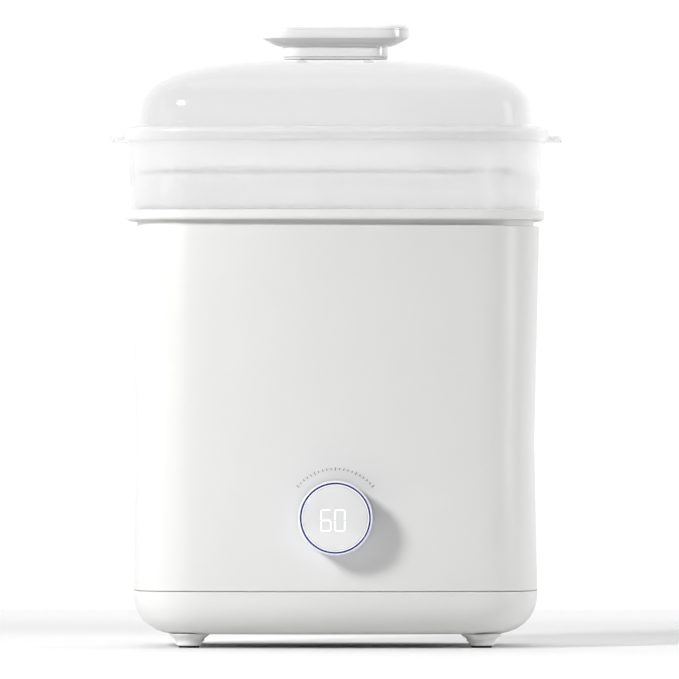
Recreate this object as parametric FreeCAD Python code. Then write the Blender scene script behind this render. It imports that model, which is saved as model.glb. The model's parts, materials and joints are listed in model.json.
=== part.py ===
import FreeCAD, Part
import math
import os

from FreeCAD import Vector

# A worktop steam steriliser and dryer for baby bottles. Millimetres, +Z up, front towards -Y.

# Plan of the body, at the top edge of the housing. Every wall is an offset of this outline.
BODY_WIDTH = 270.0
BODY_DEPTH = 215.0
CORNER_RADIUS = 46.0
FRONT_RADIUS = 500.0
SIDE_RADIUS = 600.0

# Heights of the stack
FOOT_HEIGHT = 9.0
SEAM_Z = 37.2
WAIST_Z = 134.7
HOUSING_TOP_Z = 277.0
NECK_HEIGHT = 4.0
FLANGE_HEIGHT = 6.3
TIER_HEIGHT = 55.2
RIM_HEIGHT = 9.3
SHOULDER_HEIGHT = 9.0
DOME_TOP_Z = 388.0
DOME_APEX_Z = 389.3
HANDLE_TOP_Z = 412.6

# Walls, and how far each section stands inside the plan
SHELL_WALL = 2.6
LINER_WALL = 2.4
TIER_WALL = 2.4
LID_WALL = 2.2
SEAM_INSET = 1.3
WAIST_INSET = 3.3
FLANGE_INSET = -3.3
TIER_FOOT_INSET = -0.35
TIER_TOP_INSET = -2.3
RIM_INSET = -6.3
RIM_LIP_INSET = 5.0
LID_INSET = 2.75
BASE_EDGE_RADIUS = 25.0

# Shoulder of the lid: a superellipse from the skirt to the flat top
LID_DRAFT = 0.9
DOME_RISE_POWER = 2.5
DOME_RUN_POWER = 3.0
DOME_CORNER_SHARE = 0.3
DOME_STEPS = 12

# Clearances
SEAM_GAP = 0.4
SEAT_GAP = 0.4
LIFT_GAP = 0.8
RUNNING_GAP = 0.05
SLIDE_GAP = 0.1
TURN_GAP = 0.5

# Chamber and its heater
CHAMBER_FLOOR_Z = 144.0
CHAMBER_EDGE_RADIUS = 12.0
NECK_INSET = 4.0
LEDGE_DEPTH = 4.4
PLATE_RADIUS = 62.0
PLATE_THICKNESS = 1.0
SEAL_WIDTH = 4.0
SEAL_HEIGHT = 2.0
CLAMP_WIDTH = 14.0
CLAMP_THICKNESS = 2.5
ELEMENT_RADIUS = 40.0
ELEMENT_TUBE_RADIUS = 3.5
ELEMENT_SWEEP = 320.0
ELEMENT_LEG = 16.0
TERMINAL_WIDTH = 6.0
TERMINAL_THICKNESS = 0.8
TERMINAL_LENGTH = 10.0
DIMPLE_RADIUS = 46.0
DIMPLE_HEIGHT = 0.6
CLAMP_BOSS_RADIUS = 3.2
THERMOSTAT_X = 14.0
THERMOSTAT_RADIUS = 8.0
FUSE_LENGTH = 12.0
FUSE_RADIUS = 2.0
SENSOR_PLACE = (-6.0, -18.0)
SENSOR_RADIUS = 3.0

# Bottle rack
RACK_Z = 166.0
RACK_THICKNESS = 3.0
RACK_PEG_HEIGHT = 62.0
RACK_PEG_RADIUS = 4.5
RACK_PITCH_X = 54.0
RACK_PITCH_Y = 62.0
RACK_LOOP_HEIGHT = 86.0

# Upper tier
GRID_Z = 313.0
GRID_THICKNESS = 3.0
TAB_LENGTH = 10.6
TAB_THICKNESS = 3.8
TAB_WIDTH = 44.0

# Lid handle
GRIP_LENGTH = 97.8
GRIP_DEPTH = 44.0
GRIP_EDGE_Z = 402.0
NECK_LENGTH = 69.8
NECK_DEPTH = 26.0
NECK_TOP_Z = 396.0
NECK_SEAL_THICKNESS = 1.4

# Feet
FOOT_X = 96.0
FOOT_Y = 66.0
FOOT_TOP_RADIUS = 14.0
FOOT_RADIUS = 8.5
PAD_THICKNESS = 1.5
PAD_RADIUS = 7.0
SCREW_RADIUS = 1.9
SCREW_HEAD_RADIUS = 3.6
SCREW_HEAD_HEIGHT = 1.3
SMALL_SCREW_RADIUS = 1.2
SMALL_HEAD_RADIUS = 2.8
SMALL_HEAD_HEIGHT = 2.0
SMALL_HOLE_RADIUS = 1.5
BOSS_RADIUS = 5.4
BOSS_TOP_Z = 56.0

# Knob with a screen in its middle
KNOB_Z = 85.7
KNOB_RADIUS = 24.3
KNOB_BORE = 21.6
KNOB_LENGTH = 17.0
KNOB_STANDOFF = 1.4
STEM_RADIUS = 15.0
STEM_BORE = 12.5
SLEEVE_WALL = 1.4
ENCODER_RADIUS = 25.0
SCREEN_TRAVEL = 0.8
SWITCH_SIZE = 6.0
SWITCH_BODY = 3.5
SWITCH_HEIGHT = 5.0
SWITCH_BUTTON_RADIUS = 1.7
SWITCH_BUTTON_REACH = 1.2
CARRIER_THICKNESS = 2.5
CARRIER_RADIUS = 31.0
CARRIER_SCREW_X = 35.0
BRACKET_WIDTH = 10.0
BRACKET_THICKNESS = 3.0
BRACKET_FOOT = 9.0
DISPLAY_RADIUS = 26.0
DISPLAY_THICKNESS = 1.6
LENS_THICKNESS = 2.0
LENS_RECESS = 0.5

# Blower
BLOWER_X = 66.0
BLOWER_Z = 80.0
BLOWER_FRONT_Y = 40.0
BLOWER_DEPTH = 34.0
BLOWER_RADIUS = 34.0
BLOWER_WALL = 2.0
BLOWER_TOP_Z = 118.0
IMPELLER_RADIUS = 26.0
IMPELLER_WIDTH = 24.0
BLADE_COUNT = 20
SHAFT_RADIUS = 1.6
MOTOR_RADIUS = 17.0
MOTOR_LENGTH = 28.0
HOOD_HEIGHT = 15.0
HOOD_SLOT = 2.4
INTAKE_RADIUS = 19.0
HUB_RADIUS = 5.0
BLADE_PITCH = 28.0
HEATER_HEIGHT = 12.0
FIN_PITCH = 3.0
FIN_GAP = 1.8

# Air filter at the back
DOOR_Z = 84.0
DOOR_WIDTH = 70.0
DOOR_HEIGHT = 62.0
DOOR_THICKNESS = 2.2
DOOR_PIN_RADIUS = 1.5
DOOR_PIN_LENGTH = 53.0
DOOR_PIN_PROUD = 0.6
HINGE_RISE = 1.4
HINGE_EYE_X = 24.0
HINGE_EYE_WIDTH = 5.0
HINGE_ARM_X = 17.0
HINGE_ARM_WIDTH = 8.0
KNUCKLE_RADIUS = 2.4
FRAME_LAP = 1.0
FRAME_DEPTH = 12.0
LOUVRE_HEIGHT = 2.4
LOUVRE_PITCH = 6
PULL_WIDTH = 18.0
FILTER_THICKNESS = 5.0

# Mains inlet at the back
INLET_X = -66.0
INLET_Z = 62.0
INLET_WIDTH = 27.0
INLET_HEIGHT = 19.0
INLET_DEPTH = 24.0
INLET_BEZEL = 2.5
SOCKET_DEPTH = 14.0
SOCKET_RADIUS = 4.4
PIN_OFFSET = 4.3
PIN_RADIUS = 1.2
PIN_LENGTH = 11.0

# Main board
BOARD_X = -36.0
BOARD_LENGTH = 112.0
BOARD_DEPTH = 84.0
BOARD_Z = 21.0
BOARD_THICKNESS = 1.6
BOARD_SCREW_INSET = 5.0
BOARD_PROP_RADIUS = 3.4
RELAY_SIZE = (16.0, 20.0, 16.0)
TRANSFORMER_SIZE = (22.0, 26.0, 20.0)
WINDING_SIZE = (28.0, 16.0, 14.0)
CAPACITOR_RADIUS = 6.0
CAPACITOR_HEIGHT = 20.0
HEADER_SIZE = (14.0, 8.0, 9.0)

# Worked out from the sizes above
FLANGE_Z = HOUSING_TOP_Z + NECK_HEIGHT
TIER_Z = FLANGE_Z + FLANGE_HEIGHT
RIM_TOP_Z = TIER_Z + TIER_HEIGHT
RIM_Z = RIM_TOP_Z - RIM_HEIGHT
BOWL_INSET = SHELL_WALL + LEDGE_DEPTH + SEAT_GAP
CHAMBER_INSET = BOWL_INSET + LINER_WALL
FLOOR_UNDER_Z = CHAMBER_FLOOR_Z - LINER_WALL
PLATE_Z = FLOOR_UNDER_Z - SEAL_HEIGHT - PLATE_THICKNESS
CLAMP_RADIUS = PLATE_RADIUS + CLAMP_WIDTH
PANEL_SLOPE = (WAIST_INSET - SEAM_INSET) / (WAIST_Z - SEAM_Z)
FRONT_Y = SEAM_INSET + PANEL_SLOPE * (KNOB_Z - SEAM_Z) - BODY_DEPTH / 2
KNOB_BACK_Y = FRONT_Y - KNOB_STANDOFF
KNOB_FRONT_Y = KNOB_BACK_Y - KNOB_LENGTH
ENCODER_Y = FRONT_Y + SHELL_WALL + 6.0
STEM_ROOT_Y = ENCODER_Y + 8.0
BOARD_TOP_Z = BOARD_Z + BOARD_THICKNESS
BASE_FLOOR_Z = FOOT_HEIGHT + SHELL_WALL
FEET = [(x, y) for x in (-FOOT_X, FOOT_X) for y in (-FOOT_Y, FOOT_Y)]
# The knob stands out at the front, so the plan moves back to keep the origin under the middle.
CENTRE_SHIFT = Vector(0, -(KNOB_FRONT_Y + BODY_DEPTH / 2 - RIM_INSET) / 2, 0)


def arc(start, middle, end):
    return Part.Arc(start, middle, end).toShape()


def outline(inset, z, corner=None):
    """Rounded rectangle with bowed sides at height z, as eight tangent arcs."""
    half_x = BODY_WIDTH / 2 - inset
    half_y = BODY_DEPTH / 2 - inset
    corner = CORNER_RADIUS - inset if corner is None else corner
    front_centre = Vector(0, BODY_DEPTH / 2 - FRONT_RADIUS, 0)
    side_centre = Vector(BODY_WIDTH / 2 - SIDE_RADIUS, 0, 0)
    front_reach = FRONT_RADIUS - inset - corner
    side_reach = SIDE_RADIUS - inset - corner
    between = side_centre - front_centre
    span = between.Length
    along = (front_reach ** 2 - side_reach ** 2 + span ** 2) / (2 * span)
    across = math.sqrt(front_reach ** 2 - along ** 2)
    square = Vector(between.y, -between.x, 0) / span
    centre = front_centre + between / span * along + square * across
    on_front = front_centre + (centre - front_centre) * ((front_reach + corner) / front_reach)
    on_side = side_centre + (centre - side_centre) * ((side_reach + corner) / side_reach)
    turn = (on_front - centre) + (on_side - centre)
    on_corner = centre + turn * (corner / turn.Length)

    def at(point, x_sign, y_sign):
        return Vector(point.x * x_sign, point.y * y_sign, z)

    edges = []
    for x_sign, y_sign in ((1, 1), (-1, 1), (-1, -1), (1, -1)):
        a, b = (on_side, on_front) if x_sign == y_sign else (on_front, on_side)
        edges.append(arc(at(a, x_sign, y_sign), at(on_corner, x_sign, y_sign), at(b, x_sign, y_sign)))
        if x_sign == y_sign:
            edges.append(arc(at(b, x_sign, y_sign), Vector(0, half_y * y_sign, z), at(b, -x_sign, y_sign)))
        else:
            edges.append(arc(at(b, x_sign, y_sign), Vector(half_x * x_sign, 0, z), at(b, x_sign, -y_sign)))
    return Part.Wire(edges)


def prism(inset, z_low, z_high):
    return Part.Face(outline(inset, z_low)).extrude(Vector(0, 0, z_high - z_low))


def taper(sections):
    """Solid through (inset, z) sections, straight between them."""
    return Part.makeLoft([outline(inset, z) for inset, z in sections], True, True)


def ring(inset_out, inset_in, z_low, z_high):
    return prism(inset_out, z_low, z_high).cut(prism(inset_in, z_low, z_high))


def box(x, y, z):
    """Box from three (low, high) pairs."""
    return Part.makeBox(x[1] - x[0], y[1] - y[0], z[1] - z[0], Vector(x[0], y[0], z[0]))


def around(centre, size):
    return (centre - size / 2, centre + size / 2)


def post(x, y, z_low, z_high, radius):
    return Part.makeCylinder(radius, z_high - z_low, Vector(x, y, z_low))


def tube(x, y, z_low, z_high, radius, bore):
    return post(x, y, z_low, z_high, radius).cut(post(x, y, z_low, z_high, bore))


def drum(x, z, y_low, y_high, radius):
    """Cylinder lying along Y."""
    return Part.makeCylinder(radius, y_high - y_low, Vector(x, y_low, z), Vector(0, 1, 0))


def drum_ring(x, z, y_low, y_high, radius, bore):
    return drum(x, z, y_low, y_high, radius).cut(drum(x, z, y_low, y_high, bore))


def stadium(length, depth, z):
    """Oblong wire with round ends, along X."""
    radius = depth / 2
    flat = length / 2 - radius
    return Part.Wire([
        Part.makeLine(Vector(-flat, -radius, z), Vector(flat, -radius, z)),
        arc(Vector(flat, -radius, z), Vector(flat + radius, 0, z), Vector(flat, radius, z)),
        Part.makeLine(Vector(flat, radius, z), Vector(-flat, radius, z)),
        arc(Vector(-flat, radius, z), Vector(-flat - radius, 0, z), Vector(-flat, -radius, z)),
    ])


def oblong(length, depth, z_low, z_high):
    return Part.Face(stadium(length, depth, z_low)).extrude(Vector(0, 0, z_high - z_low))


def fuse(shapes):
    whole = shapes[0].multiFuse(shapes[1:]) if len(shapes) > 1 else shapes[0]
    return whole.removeSplitter()


def cut(shape, tools):
    return shape.cut(Part.makeCompound(tools))


def edges_at(shape, z):
    return [e for e in shape.Edges if abs(e.BoundBox.ZMin - z) < 1e-3 and abs(e.BoundBox.ZMax - z) < 1e-3]


def write(name, shapes):
    """Writes one node, which may be a group of separate solids."""
    solids = []
    for shape in shapes if isinstance(shapes, list) else [shapes]:
        solids += shape.Solids
    whole = solids[0] if len(solids) == 1 else Part.makeCompound(solids)
    whole.translate(CENTRE_SHIFT)
    whole.exportStep("parts/" + name + ".step")


# Place on the back wall: the local frame's -Y side goes inside, turned to the wall's own slope.
def on_back(shape, x, z):
    slope = math.degrees(math.asin(x / FRONT_RADIUS))
    radius = FRONT_RADIUS - SEAM_INSET - PANEL_SLOPE * (z - SEAM_Z)
    surface = BODY_DEPTH / 2 - FRONT_RADIUS + radius * math.cos(math.radians(slope))
    placed = shape.copy()
    placed.rotate(Vector(0, 0, 0), Vector(0, 0, 1), -slope)
    placed.translate(Vector(x, surface, z))
    return placed


def base_shell():
    outer = prism(SEAM_INSET, FOOT_HEIGHT, SEAM_Z)
    outer = outer.makeFillet(BASE_EDGE_RADIUS, edges_at(outer, FOOT_HEIGHT))
    inner = prism(SEAM_INSET + SHELL_WALL, BASE_FLOOR_Z, SEAM_Z)
    inner = inner.makeFillet(BASE_EDGE_RADIUS - SHELL_WALL, edges_at(inner, BASE_FLOOR_Z))
    tongue = ring(SEAM_INSET + SHELL_WALL + SEAT_GAP, SEAM_INSET + 2 * SHELL_WALL, SEAM_Z - 8, SEAM_Z + 3)
    bridge = ring(SEAM_INSET + 1.0, SEAM_INSET + 2 * SHELL_WALL, SEAM_Z - 8, SEAM_Z - 5)
    bosses = [post(x, y, BASE_FLOOR_Z - 1, SEAM_Z, BOSS_RADIUS + 1) for x, y in FEET]
    props = [post(x, y, BASE_FLOOR_Z - 1, BOARD_Z, BOARD_PROP_RADIUS) for x, y in board_corners()]
    shell = fuse([outer.cut(inner), tongue, bridge] + bosses + props)
    holes = [post(x, y, FOOT_HEIGHT - 1, SEAM_Z + 1, SCREW_RADIUS + SLIDE_GAP) for x, y in FEET]
    holes += [post(x, y, FOOT_HEIGHT - 1, SEAM_Z - 14, SCREW_HEAD_RADIUS + SEAT_GAP) for x, y in FEET]
    holes += [post(x, y, BASE_FLOOR_Z + 1, BOARD_Z + 1, SMALL_SCREW_RADIUS) for x, y in board_corners()]
    vents = [box(around(x, 4), (-24, 24), (FOOT_HEIGHT - 1, BASE_FLOOR_Z + 1)) for x in range(34, 83, 8)]
    return cut(shell, holes + vents)


def board_corners():
    half_x = BOARD_LENGTH / 2 - BOARD_SCREW_INSET
    half_y = BOARD_DEPTH / 2 - BOARD_SCREW_INSET
    xs = (BOARD_X - half_x, BOARD_X + half_x)
    ys = (-half_y, half_y)
    return [(x, y) for x in xs for y in ys]


def outer_housing():
    low = SEAM_Z + SEAM_GAP
    outer = taper([(SEAM_INSET, low), (WAIST_INSET, WAIST_Z), (0, HOUSING_TOP_Z)])
    inner = taper([(SEAM_INSET + SHELL_WALL, low), (WAIST_INSET + SHELL_WALL, WAIST_Z),
                   (SHELL_WALL, HOUSING_TOP_Z)])
    ledge = ring(1.0, SHELL_WALL + LEDGE_DEPTH, HOUSING_TOP_Z - SHELL_WALL, HOUSING_TOP_Z)
    columns = []
    for x, y in FEET:
        rib = box((0, CORNER_RADIUS), around(0, 2.4), (SEAM_Z + 4, BOSS_TOP_Z))
        rib.rotate(Vector(0, 0, 0), Vector(0, 0, 1), math.degrees(math.atan2(y / abs(y), x / abs(x))))
        rib.translate(Vector(x, y, 0))
        columns += [post(x, y, SEAM_Z, BOSS_TOP_Z, BOSS_RADIUS), rib.common(outer)]
    shell = fuse([outer.cut(inner), ledge] + columns)
    holes = [post(x, y, SEAM_Z - 1, BOSS_TOP_Z - 6, SCREW_RADIUS - 0.3) for x, y in FEET]
    holes.append(drum(0, KNOB_Z, FRONT_Y - 5, FRONT_Y + 9, STEM_RADIUS + SLEEVE_WALL + 1))
    frame = box(around(0, DOOR_WIDTH - 2), (-9, 9), around(0, DOOR_HEIGHT - 2))
    hinge = box(around(0, 58), (-4, 9), around(door_pin_rise(), 8))
    holes.append(on_back(frame.fuse(hinge), 0, DOOR_Z))
    socket = box(around(0, INLET_WIDTH + 2 * SLIDE_GAP), (-9, 9), around(0, INLET_HEIGHT + 2 * SLIDE_GAP))
    holes.append(on_back(socket, INLET_X, INLET_Z))
    return cut(shell, holes)


def housing_screws():
    screws = []
    for x, y in FEET:
        head_z = SEAM_Z - 14 - 3
        shank = post(x, y, head_z + 3, BOSS_TOP_Z - 8, SCREW_RADIUS - 0.3)
        screws.append(post(x, y, head_z, head_z + 3, SCREW_HEAD_RADIUS).fuse(shank).removeSplitter())
    return screws


def feet():
    group = []
    for x, y in FEET:
        flare = Part.makeCone(FOOT_RADIUS, FOOT_TOP_RADIUS, 4, Vector(x, y, FOOT_HEIGHT - 4))
        leg = post(x, y, PAD_THICKNESS, FOOT_HEIGHT - 4, FOOT_RADIUS)
        plug = post(x, y, FOOT_HEIGHT, FOOT_HEIGHT + 8, SCREW_HEAD_RADIUS + SEAT_GAP - RUNNING_GAP)
        pocket = post(x, y, 0, PAD_THICKNESS + 1.5, PAD_RADIUS)
        group.append(fuse([flare, leg, plug]).cut(pocket))
    return group


def foot_pads():
    return [post(x, y, 0, PAD_THICKNESS + 1.5, PAD_RADIUS) for x, y in FEET]


def duct_x():
    return (BLOWER_X + 8, BLOWER_X + BLOWER_RADIUS)


def duct_y():
    return (BLOWER_FRONT_Y, BLOWER_FRONT_Y + BLOWER_DEPTH)


def shrunk(pair, wall):
    return (pair[0] + wall, pair[1] - wall)


def chamber_liner():
    outer = prism(BOWL_INSET, FLOOR_UNDER_Z, TIER_Z)
    outer = outer.makeFillet(CHAMBER_EDGE_RADIUS, edges_at(outer, FLOOR_UNDER_Z))
    flange = prism(FLANGE_INSET, FLANGE_Z, TIER_Z)
    flange = flange.makeFillet(2.4, edges_at(flange, FLANGE_Z))
    neck = prism(NECK_INSET, HOUSING_TOP_Z, FLANGE_Z)
    inner = prism(CHAMBER_INSET, CHAMBER_FLOOR_Z, TIER_Z)
    inner = inner.makeFillet(CHAMBER_EDGE_RADIUS - LINER_WALL, edges_at(inner, CHAMBER_FLOOR_Z))
    bosses = [post(x, y, PLATE_Z, FLOOR_UNDER_Z + 1, CLAMP_BOSS_RADIUS) for x, y in clamp_screw_places()]
    bowl = fuse([outer, flange, neck]).cut(inner)
    bowl = fuse([bowl] + bosses)
    holes = [post(0, 0, FLOOR_UNDER_Z - 1, CHAMBER_FLOOR_Z + 1, PLATE_RADIUS - SEAL_WIDTH)]
    holes.append(box(shrunk(duct_x(), BLOWER_WALL), shrunk(duct_y(), BLOWER_WALL),
                     (FLOOR_UNDER_Z - 1, CHAMBER_FLOOR_Z + 1)))
    holes += [post(x, y, PLATE_Z - 1, FLOOR_UNDER_Z, SMALL_SCREW_RADIUS) for x, y in clamp_screw_places()]
    return cut(bowl, holes)


def clamp_screw_places():
    radius = PLATE_RADIUS + CLAMP_WIDTH / 2 + 0.8
    angles = [math.radians(a) for a in (0, 90, 180, 270)]
    return [(radius * math.cos(a), radius * math.sin(a)) for a in angles]


def heating_plate():
    plate = post(0, 0, PLATE_Z, PLATE_Z + PLATE_THICKNESS, PLATE_RADIUS)
    dimple = tube(0, 0, PLATE_Z + PLATE_THICKNESS, PLATE_Z + PLATE_THICKNESS + DIMPLE_HEIGHT, DIMPLE_RADIUS,
                  DIMPLE_RADIUS - 2)
    return fuse([plate, dimple])


def plate_seal():
    return tube(0, 0, PLATE_Z + PLATE_THICKNESS, FLOOR_UNDER_Z, PLATE_RADIUS, PLATE_RADIUS - SEAL_WIDTH)


def plate_clamp():
    clamp = tube(0, 0, PLATE_Z - CLAMP_THICKNESS, PLATE_Z, CLAMP_RADIUS, PLATE_RADIUS - 8)
    return cut(clamp, [post(x, y, 0, PLATE_Z + 1, SMALL_HOLE_RADIUS) for x, y in clamp_screw_places()])


def clamp_screws():
    screws = []
    for x, y in clamp_screw_places():
        under = PLATE_Z - CLAMP_THICKNESS
        head = post(x, y, under - SMALL_HEAD_HEIGHT, under, SMALL_HEAD_RADIUS)
        shank = post(x, y, under, FLOOR_UNDER_Z - 0.5, SMALL_SCREW_RADIUS)
        screws.append(fuse([head, shank]))
    return screws


def heating_element():
    z = PLATE_Z - ELEMENT_TUBE_RADIUS
    section = Part.Wire(Part.makeCircle(ELEMENT_TUBE_RADIUS, Vector(ELEMENT_RADIUS, 0, z), Vector(0, 1, 0)))
    coil = Part.Face(section).revolve(Vector(0, 0, 0), Vector(0, 0, 1), ELEMENT_SWEEP)
    ends = []
    for angle in (0, math.radians(ELEMENT_SWEEP)):
        x = ELEMENT_RADIUS * math.cos(angle)
        y = ELEMENT_RADIUS * math.sin(angle)
        ends.append(post(x, y, z - ELEMENT_LEG, z, ELEMENT_TUBE_RADIUS - 1))
        blade = (z - ELEMENT_LEG - TERMINAL_LENGTH, z - ELEMENT_LEG + 1)
        ends.append(box(around(x, TERMINAL_WIDTH), around(y, TERMINAL_THICKNESS), blade))
    return fuse([coil] + ends)


def thermostat():
    x = THERMOSTAT_X
    cap = post(x, 0, PLATE_Z - 5, PLATE_Z, THERMOSTAT_RADIUS)
    body = post(x, 0, PLATE_Z - 12, PLATE_Z - 5, THERMOSTAT_RADIUS - 1.5)
    spans = (PLATE_Z - 21, PLATE_Z - 12)
    blades = [box(around(x + dx, TERMINAL_THICKNESS), around(0, 5), spans) for dx in (-4, 4)]
    return fuse([cap, body] + blades)


def thermal_fuse():
    return Part.makeCylinder(FUSE_RADIUS, FUSE_LENGTH, Vector(-22, 4, PLATE_Z - FUSE_RADIUS), Vector(1, 0, 0))


def temperature_sensor():
    x, y = SENSOR_PLACE
    bulb = post(x, y, PLATE_Z - 8, PLATE_Z, SENSOR_RADIUS)
    return bulb.fuse(post(x, y, PLATE_Z - 14, PLATE_Z - 8, SENSOR_RADIUS - 1.4))


def air_duct():
    x, y = duct_x(), duct_y()
    outer = box(x, y, (BLOWER_TOP_Z, FLOOR_UNDER_Z))
    return outer.cut(box(shrunk(x, BLOWER_WALL), shrunk(y, BLOWER_WALL), (BLOWER_TOP_Z, FLOOR_UNDER_Z)))


def air_heater():
    x = shrunk(duct_x(), BLOWER_WALL + SEAT_GAP)
    y = shrunk(duct_y(), BLOWER_WALL)
    z = (BLOWER_TOP_Z + 5, BLOWER_TOP_Z + 5 + HEATER_HEIGHT)
    slots = []
    place = x[0] + 2.4
    while place < x[1] - 2:
        slots.append(box((place, place + FIN_GAP), (y[0] + 2, y[1] - 2), (z[0] - 1, z[1] + 1)))
        place += FIN_PITCH
    return cut(box(x, y, z), slots)


def air_outlet():
    x, y = duct_x(), duct_y()
    z = (CHAMBER_FLOOR_Z, CHAMBER_FLOOR_Z + HOOD_HEIGHT)
    hood = box(x, y, z)
    hood = hood.makeFillet(3, edges_at(hood, z[1]))
    hood = hood.cut(box(shrunk(x, BLOWER_WALL), shrunk(y, BLOWER_WALL), (z[0], z[1] - BLOWER_WALL)))
    slots = []
    for level in (4, 8):
        slots.append(box((x[0] - 1, x[0] + 5), shrunk(y, 5), (z[0] + level, z[0] + level + HOOD_SLOT)))
        slots.append(box(shrunk(x, 5), (y[0] - 1, y[0] + 5), (z[0] + level, z[0] + level + HOOD_SLOT)))
    return cut(hood, slots)


def blower_form(grow, y_low, y_high):
    """Outside of the blower's drum and its upward outlet, grown by a wall."""
    drum_part = drum(BLOWER_X, BLOWER_Z, y_low, y_high, BLOWER_RADIUS + grow)
    x = (duct_x()[0] - grow, duct_x()[1] + grow)
    return drum_part.fuse(box(x, (y_low, y_high), (BLOWER_Z, BLOWER_TOP_Z))).removeSplitter()


def blower_housing():
    y = duct_y()
    outer = blower_form(0, y[0], y[1] - BLOWER_WALL)
    inner = blower_form(-BLOWER_WALL, y[0] + BLOWER_WALL, y[1] - BLOWER_WALL)
    bore = drum(BLOWER_X, BLOWER_Z, y[0] - 1, y[0] + BLOWER_WALL + 1, HUB_RADIUS)
    return cut(outer, [inner, bore])


def blower_cover():
    y = duct_y()
    plate = blower_form(0, y[1] - BLOWER_WALL, y[1])
    bell = drum(BLOWER_X, BLOWER_Z, y[1], y[1] + 3, INTAKE_RADIUS + 2)
    intake = drum(BLOWER_X, BLOWER_Z, y[0], y[1] + 4, INTAKE_RADIUS)
    return plate.fuse(bell).removeSplitter().cut(intake)


def blower_motor():
    y = BLOWER_FRONT_Y
    can = drum(BLOWER_X, BLOWER_Z, y - MOTOR_LENGTH, y, MOTOR_RADIUS)
    collar = drum(BLOWER_X, BLOWER_Z, y, y + BLOWER_WALL, HUB_RADIUS - SLIDE_GAP)
    tail = drum(BLOWER_X, BLOWER_Z, y - MOTOR_LENGTH - 3, y - MOTOR_LENGTH, 5)
    bore = drum(BLOWER_X, BLOWER_Z, y - MOTOR_LENGTH - 4, y + 3, SHAFT_RADIUS + RUNNING_GAP)
    return fuse([can, collar, tail]).cut(bore)


def motor_shaft():
    y = BLOWER_FRONT_Y
    return drum(BLOWER_X, BLOWER_Z, y - MOTOR_LENGTH - 5, y + IMPELLER_WIDTH, SHAFT_RADIUS)


def blower_impeller():
    y = BLOWER_FRONT_Y + BLOWER_WALL + 1.5
    back = drum(BLOWER_X, BLOWER_Z, y, y + 1.6, IMPELLER_RADIUS)
    hub = drum(BLOWER_X, BLOWER_Z, y, y + 16, HUB_RADIUS)
    rim = drum_ring(BLOWER_X, BLOWER_Z, y + IMPELLER_WIDTH - 2, y + IMPELLER_WIDTH,
                    IMPELLER_RADIUS, IMPELLER_RADIUS - 5)
    blades = []
    for i in range(BLADE_COUNT):
        blade = box((IMPELLER_RADIUS - 5.5, IMPELLER_RADIUS - 0.4), around(0, 0.9), (0, IMPELLER_WIDTH - 0.5))
        blade.rotate(Vector(0, 0, 0), Vector(1, 0, 0), -90)
        blade.rotate(Vector(IMPELLER_RADIUS - 3, 0, 0), Vector(0, 1, 0), BLADE_PITCH)
        blade.rotate(Vector(0, 0, 0), Vector(0, 1, 0), 360 / BLADE_COUNT * i)
        blade.translate(Vector(BLOWER_X, y, BLOWER_Z))
        blades.append(blade)
    wheel = fuse([back, hub, rim] + blades)
    return wheel.cut(drum(BLOWER_X, BLOWER_Z, y - 1, y + IMPELLER_WIDTH, SHAFT_RADIUS))


def filter_frame():
    hole = box(around(0, DOOR_WIDTH - 10), (-20, 9), around(0, DOOR_HEIGHT - 10))
    lap = 2 * FRAME_LAP + 2 * SLIDE_GAP
    sleeve = box(around(0, DOOR_WIDTH - lap), (-FRAME_DEPTH, FRAME_LAP), around(0, DOOR_HEIGHT - lap))
    pocket = box(around(0, DOOR_WIDTH - 7), (-10, 9), around(0, DOOR_HEIGHT - 7))
    frame = cut(sleeve, [hole, pocket])
    bar = ((-FRAME_DEPTH, 2 - FRAME_DEPTH), around(0, DOOR_HEIGHT - 6))
    back_bars = [box(around(x, 2), *bar) for x in (-15, 0, 15)]
    eyes = []
    for x in (-HINGE_EYE_X, HINGE_EYE_X):
        eyes.append(box(around(x, HINGE_EYE_WIDTH), (-1, 2.2), (DOOR_HEIGHT / 2 - 2.5, DOOR_HEIGHT / 2 + 4)))
    frame = fuse([frame] + back_bars + eyes)
    return on_back(frame.cut(hinge_rod(DOOR_PIN_RADIUS + RUNNING_GAP, DOOR_PIN_LENGTH + 10, 0)), 0, DOOR_Z)


def hinge_rod(radius, length, x):
    """Cylinder on the hinge's axis, centred at x."""
    start = Vector(x - length / 2, DOOR_PIN_PROUD, door_pin_rise())
    return Part.makeCylinder(radius, length, start, Vector(1, 0, 0))


def door_pin_rise():
    return DOOR_HEIGHT / 2 + HINGE_RISE


def filter_door():
    inside = FRAME_LAP + SEAT_GAP
    low = -DOOR_HEIGHT / 2
    plate = box(around(0, DOOR_WIDTH), (inside, inside + DOOR_THICKNESS), (low, DOOR_HEIGHT / 2 - 3.5))
    lip = [e for e in plate.Edges if e.BoundBox.YMin > inside + DOOR_THICKNESS - 0.1]
    plate = plate.makeFillet(1.0, lip)
    width = around(0, DOOR_WIDTH - 20)
    slots = [box(width, (0, 9), (z, z + LOUVRE_HEIGHT)) for z in range(-20, 18, LOUVRE_PITCH)]
    arms = []
    for x in (-HINGE_ARM_X, HINGE_ARM_X):
        knuckle = hinge_rod(KNUCKLE_RADIUS, HINGE_ARM_WIDTH, x)
        rise = (DOOR_HEIGHT / 2 - 5, door_pin_rise())
        arm = box(around(x, HINGE_ARM_WIDTH), (inside, inside + DOOR_THICKNESS), rise)
        arms += [knuckle, arm]
    pull = box(around(0, PULL_WIDTH), (inside + 1, inside + DOOR_THICKNESS + 1.6), (low + 1, low + 3))
    door = fuse([cut(plate, slots), pull] + arms)
    return on_back(door.cut(hinge_rod(DOOR_PIN_RADIUS, DOOR_PIN_LENGTH, 0)), 0, DOOR_Z)


def door_pin():
    return on_back(hinge_rod(DOOR_PIN_RADIUS, DOOR_PIN_LENGTH, 0), 0, DOOR_Z)


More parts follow.
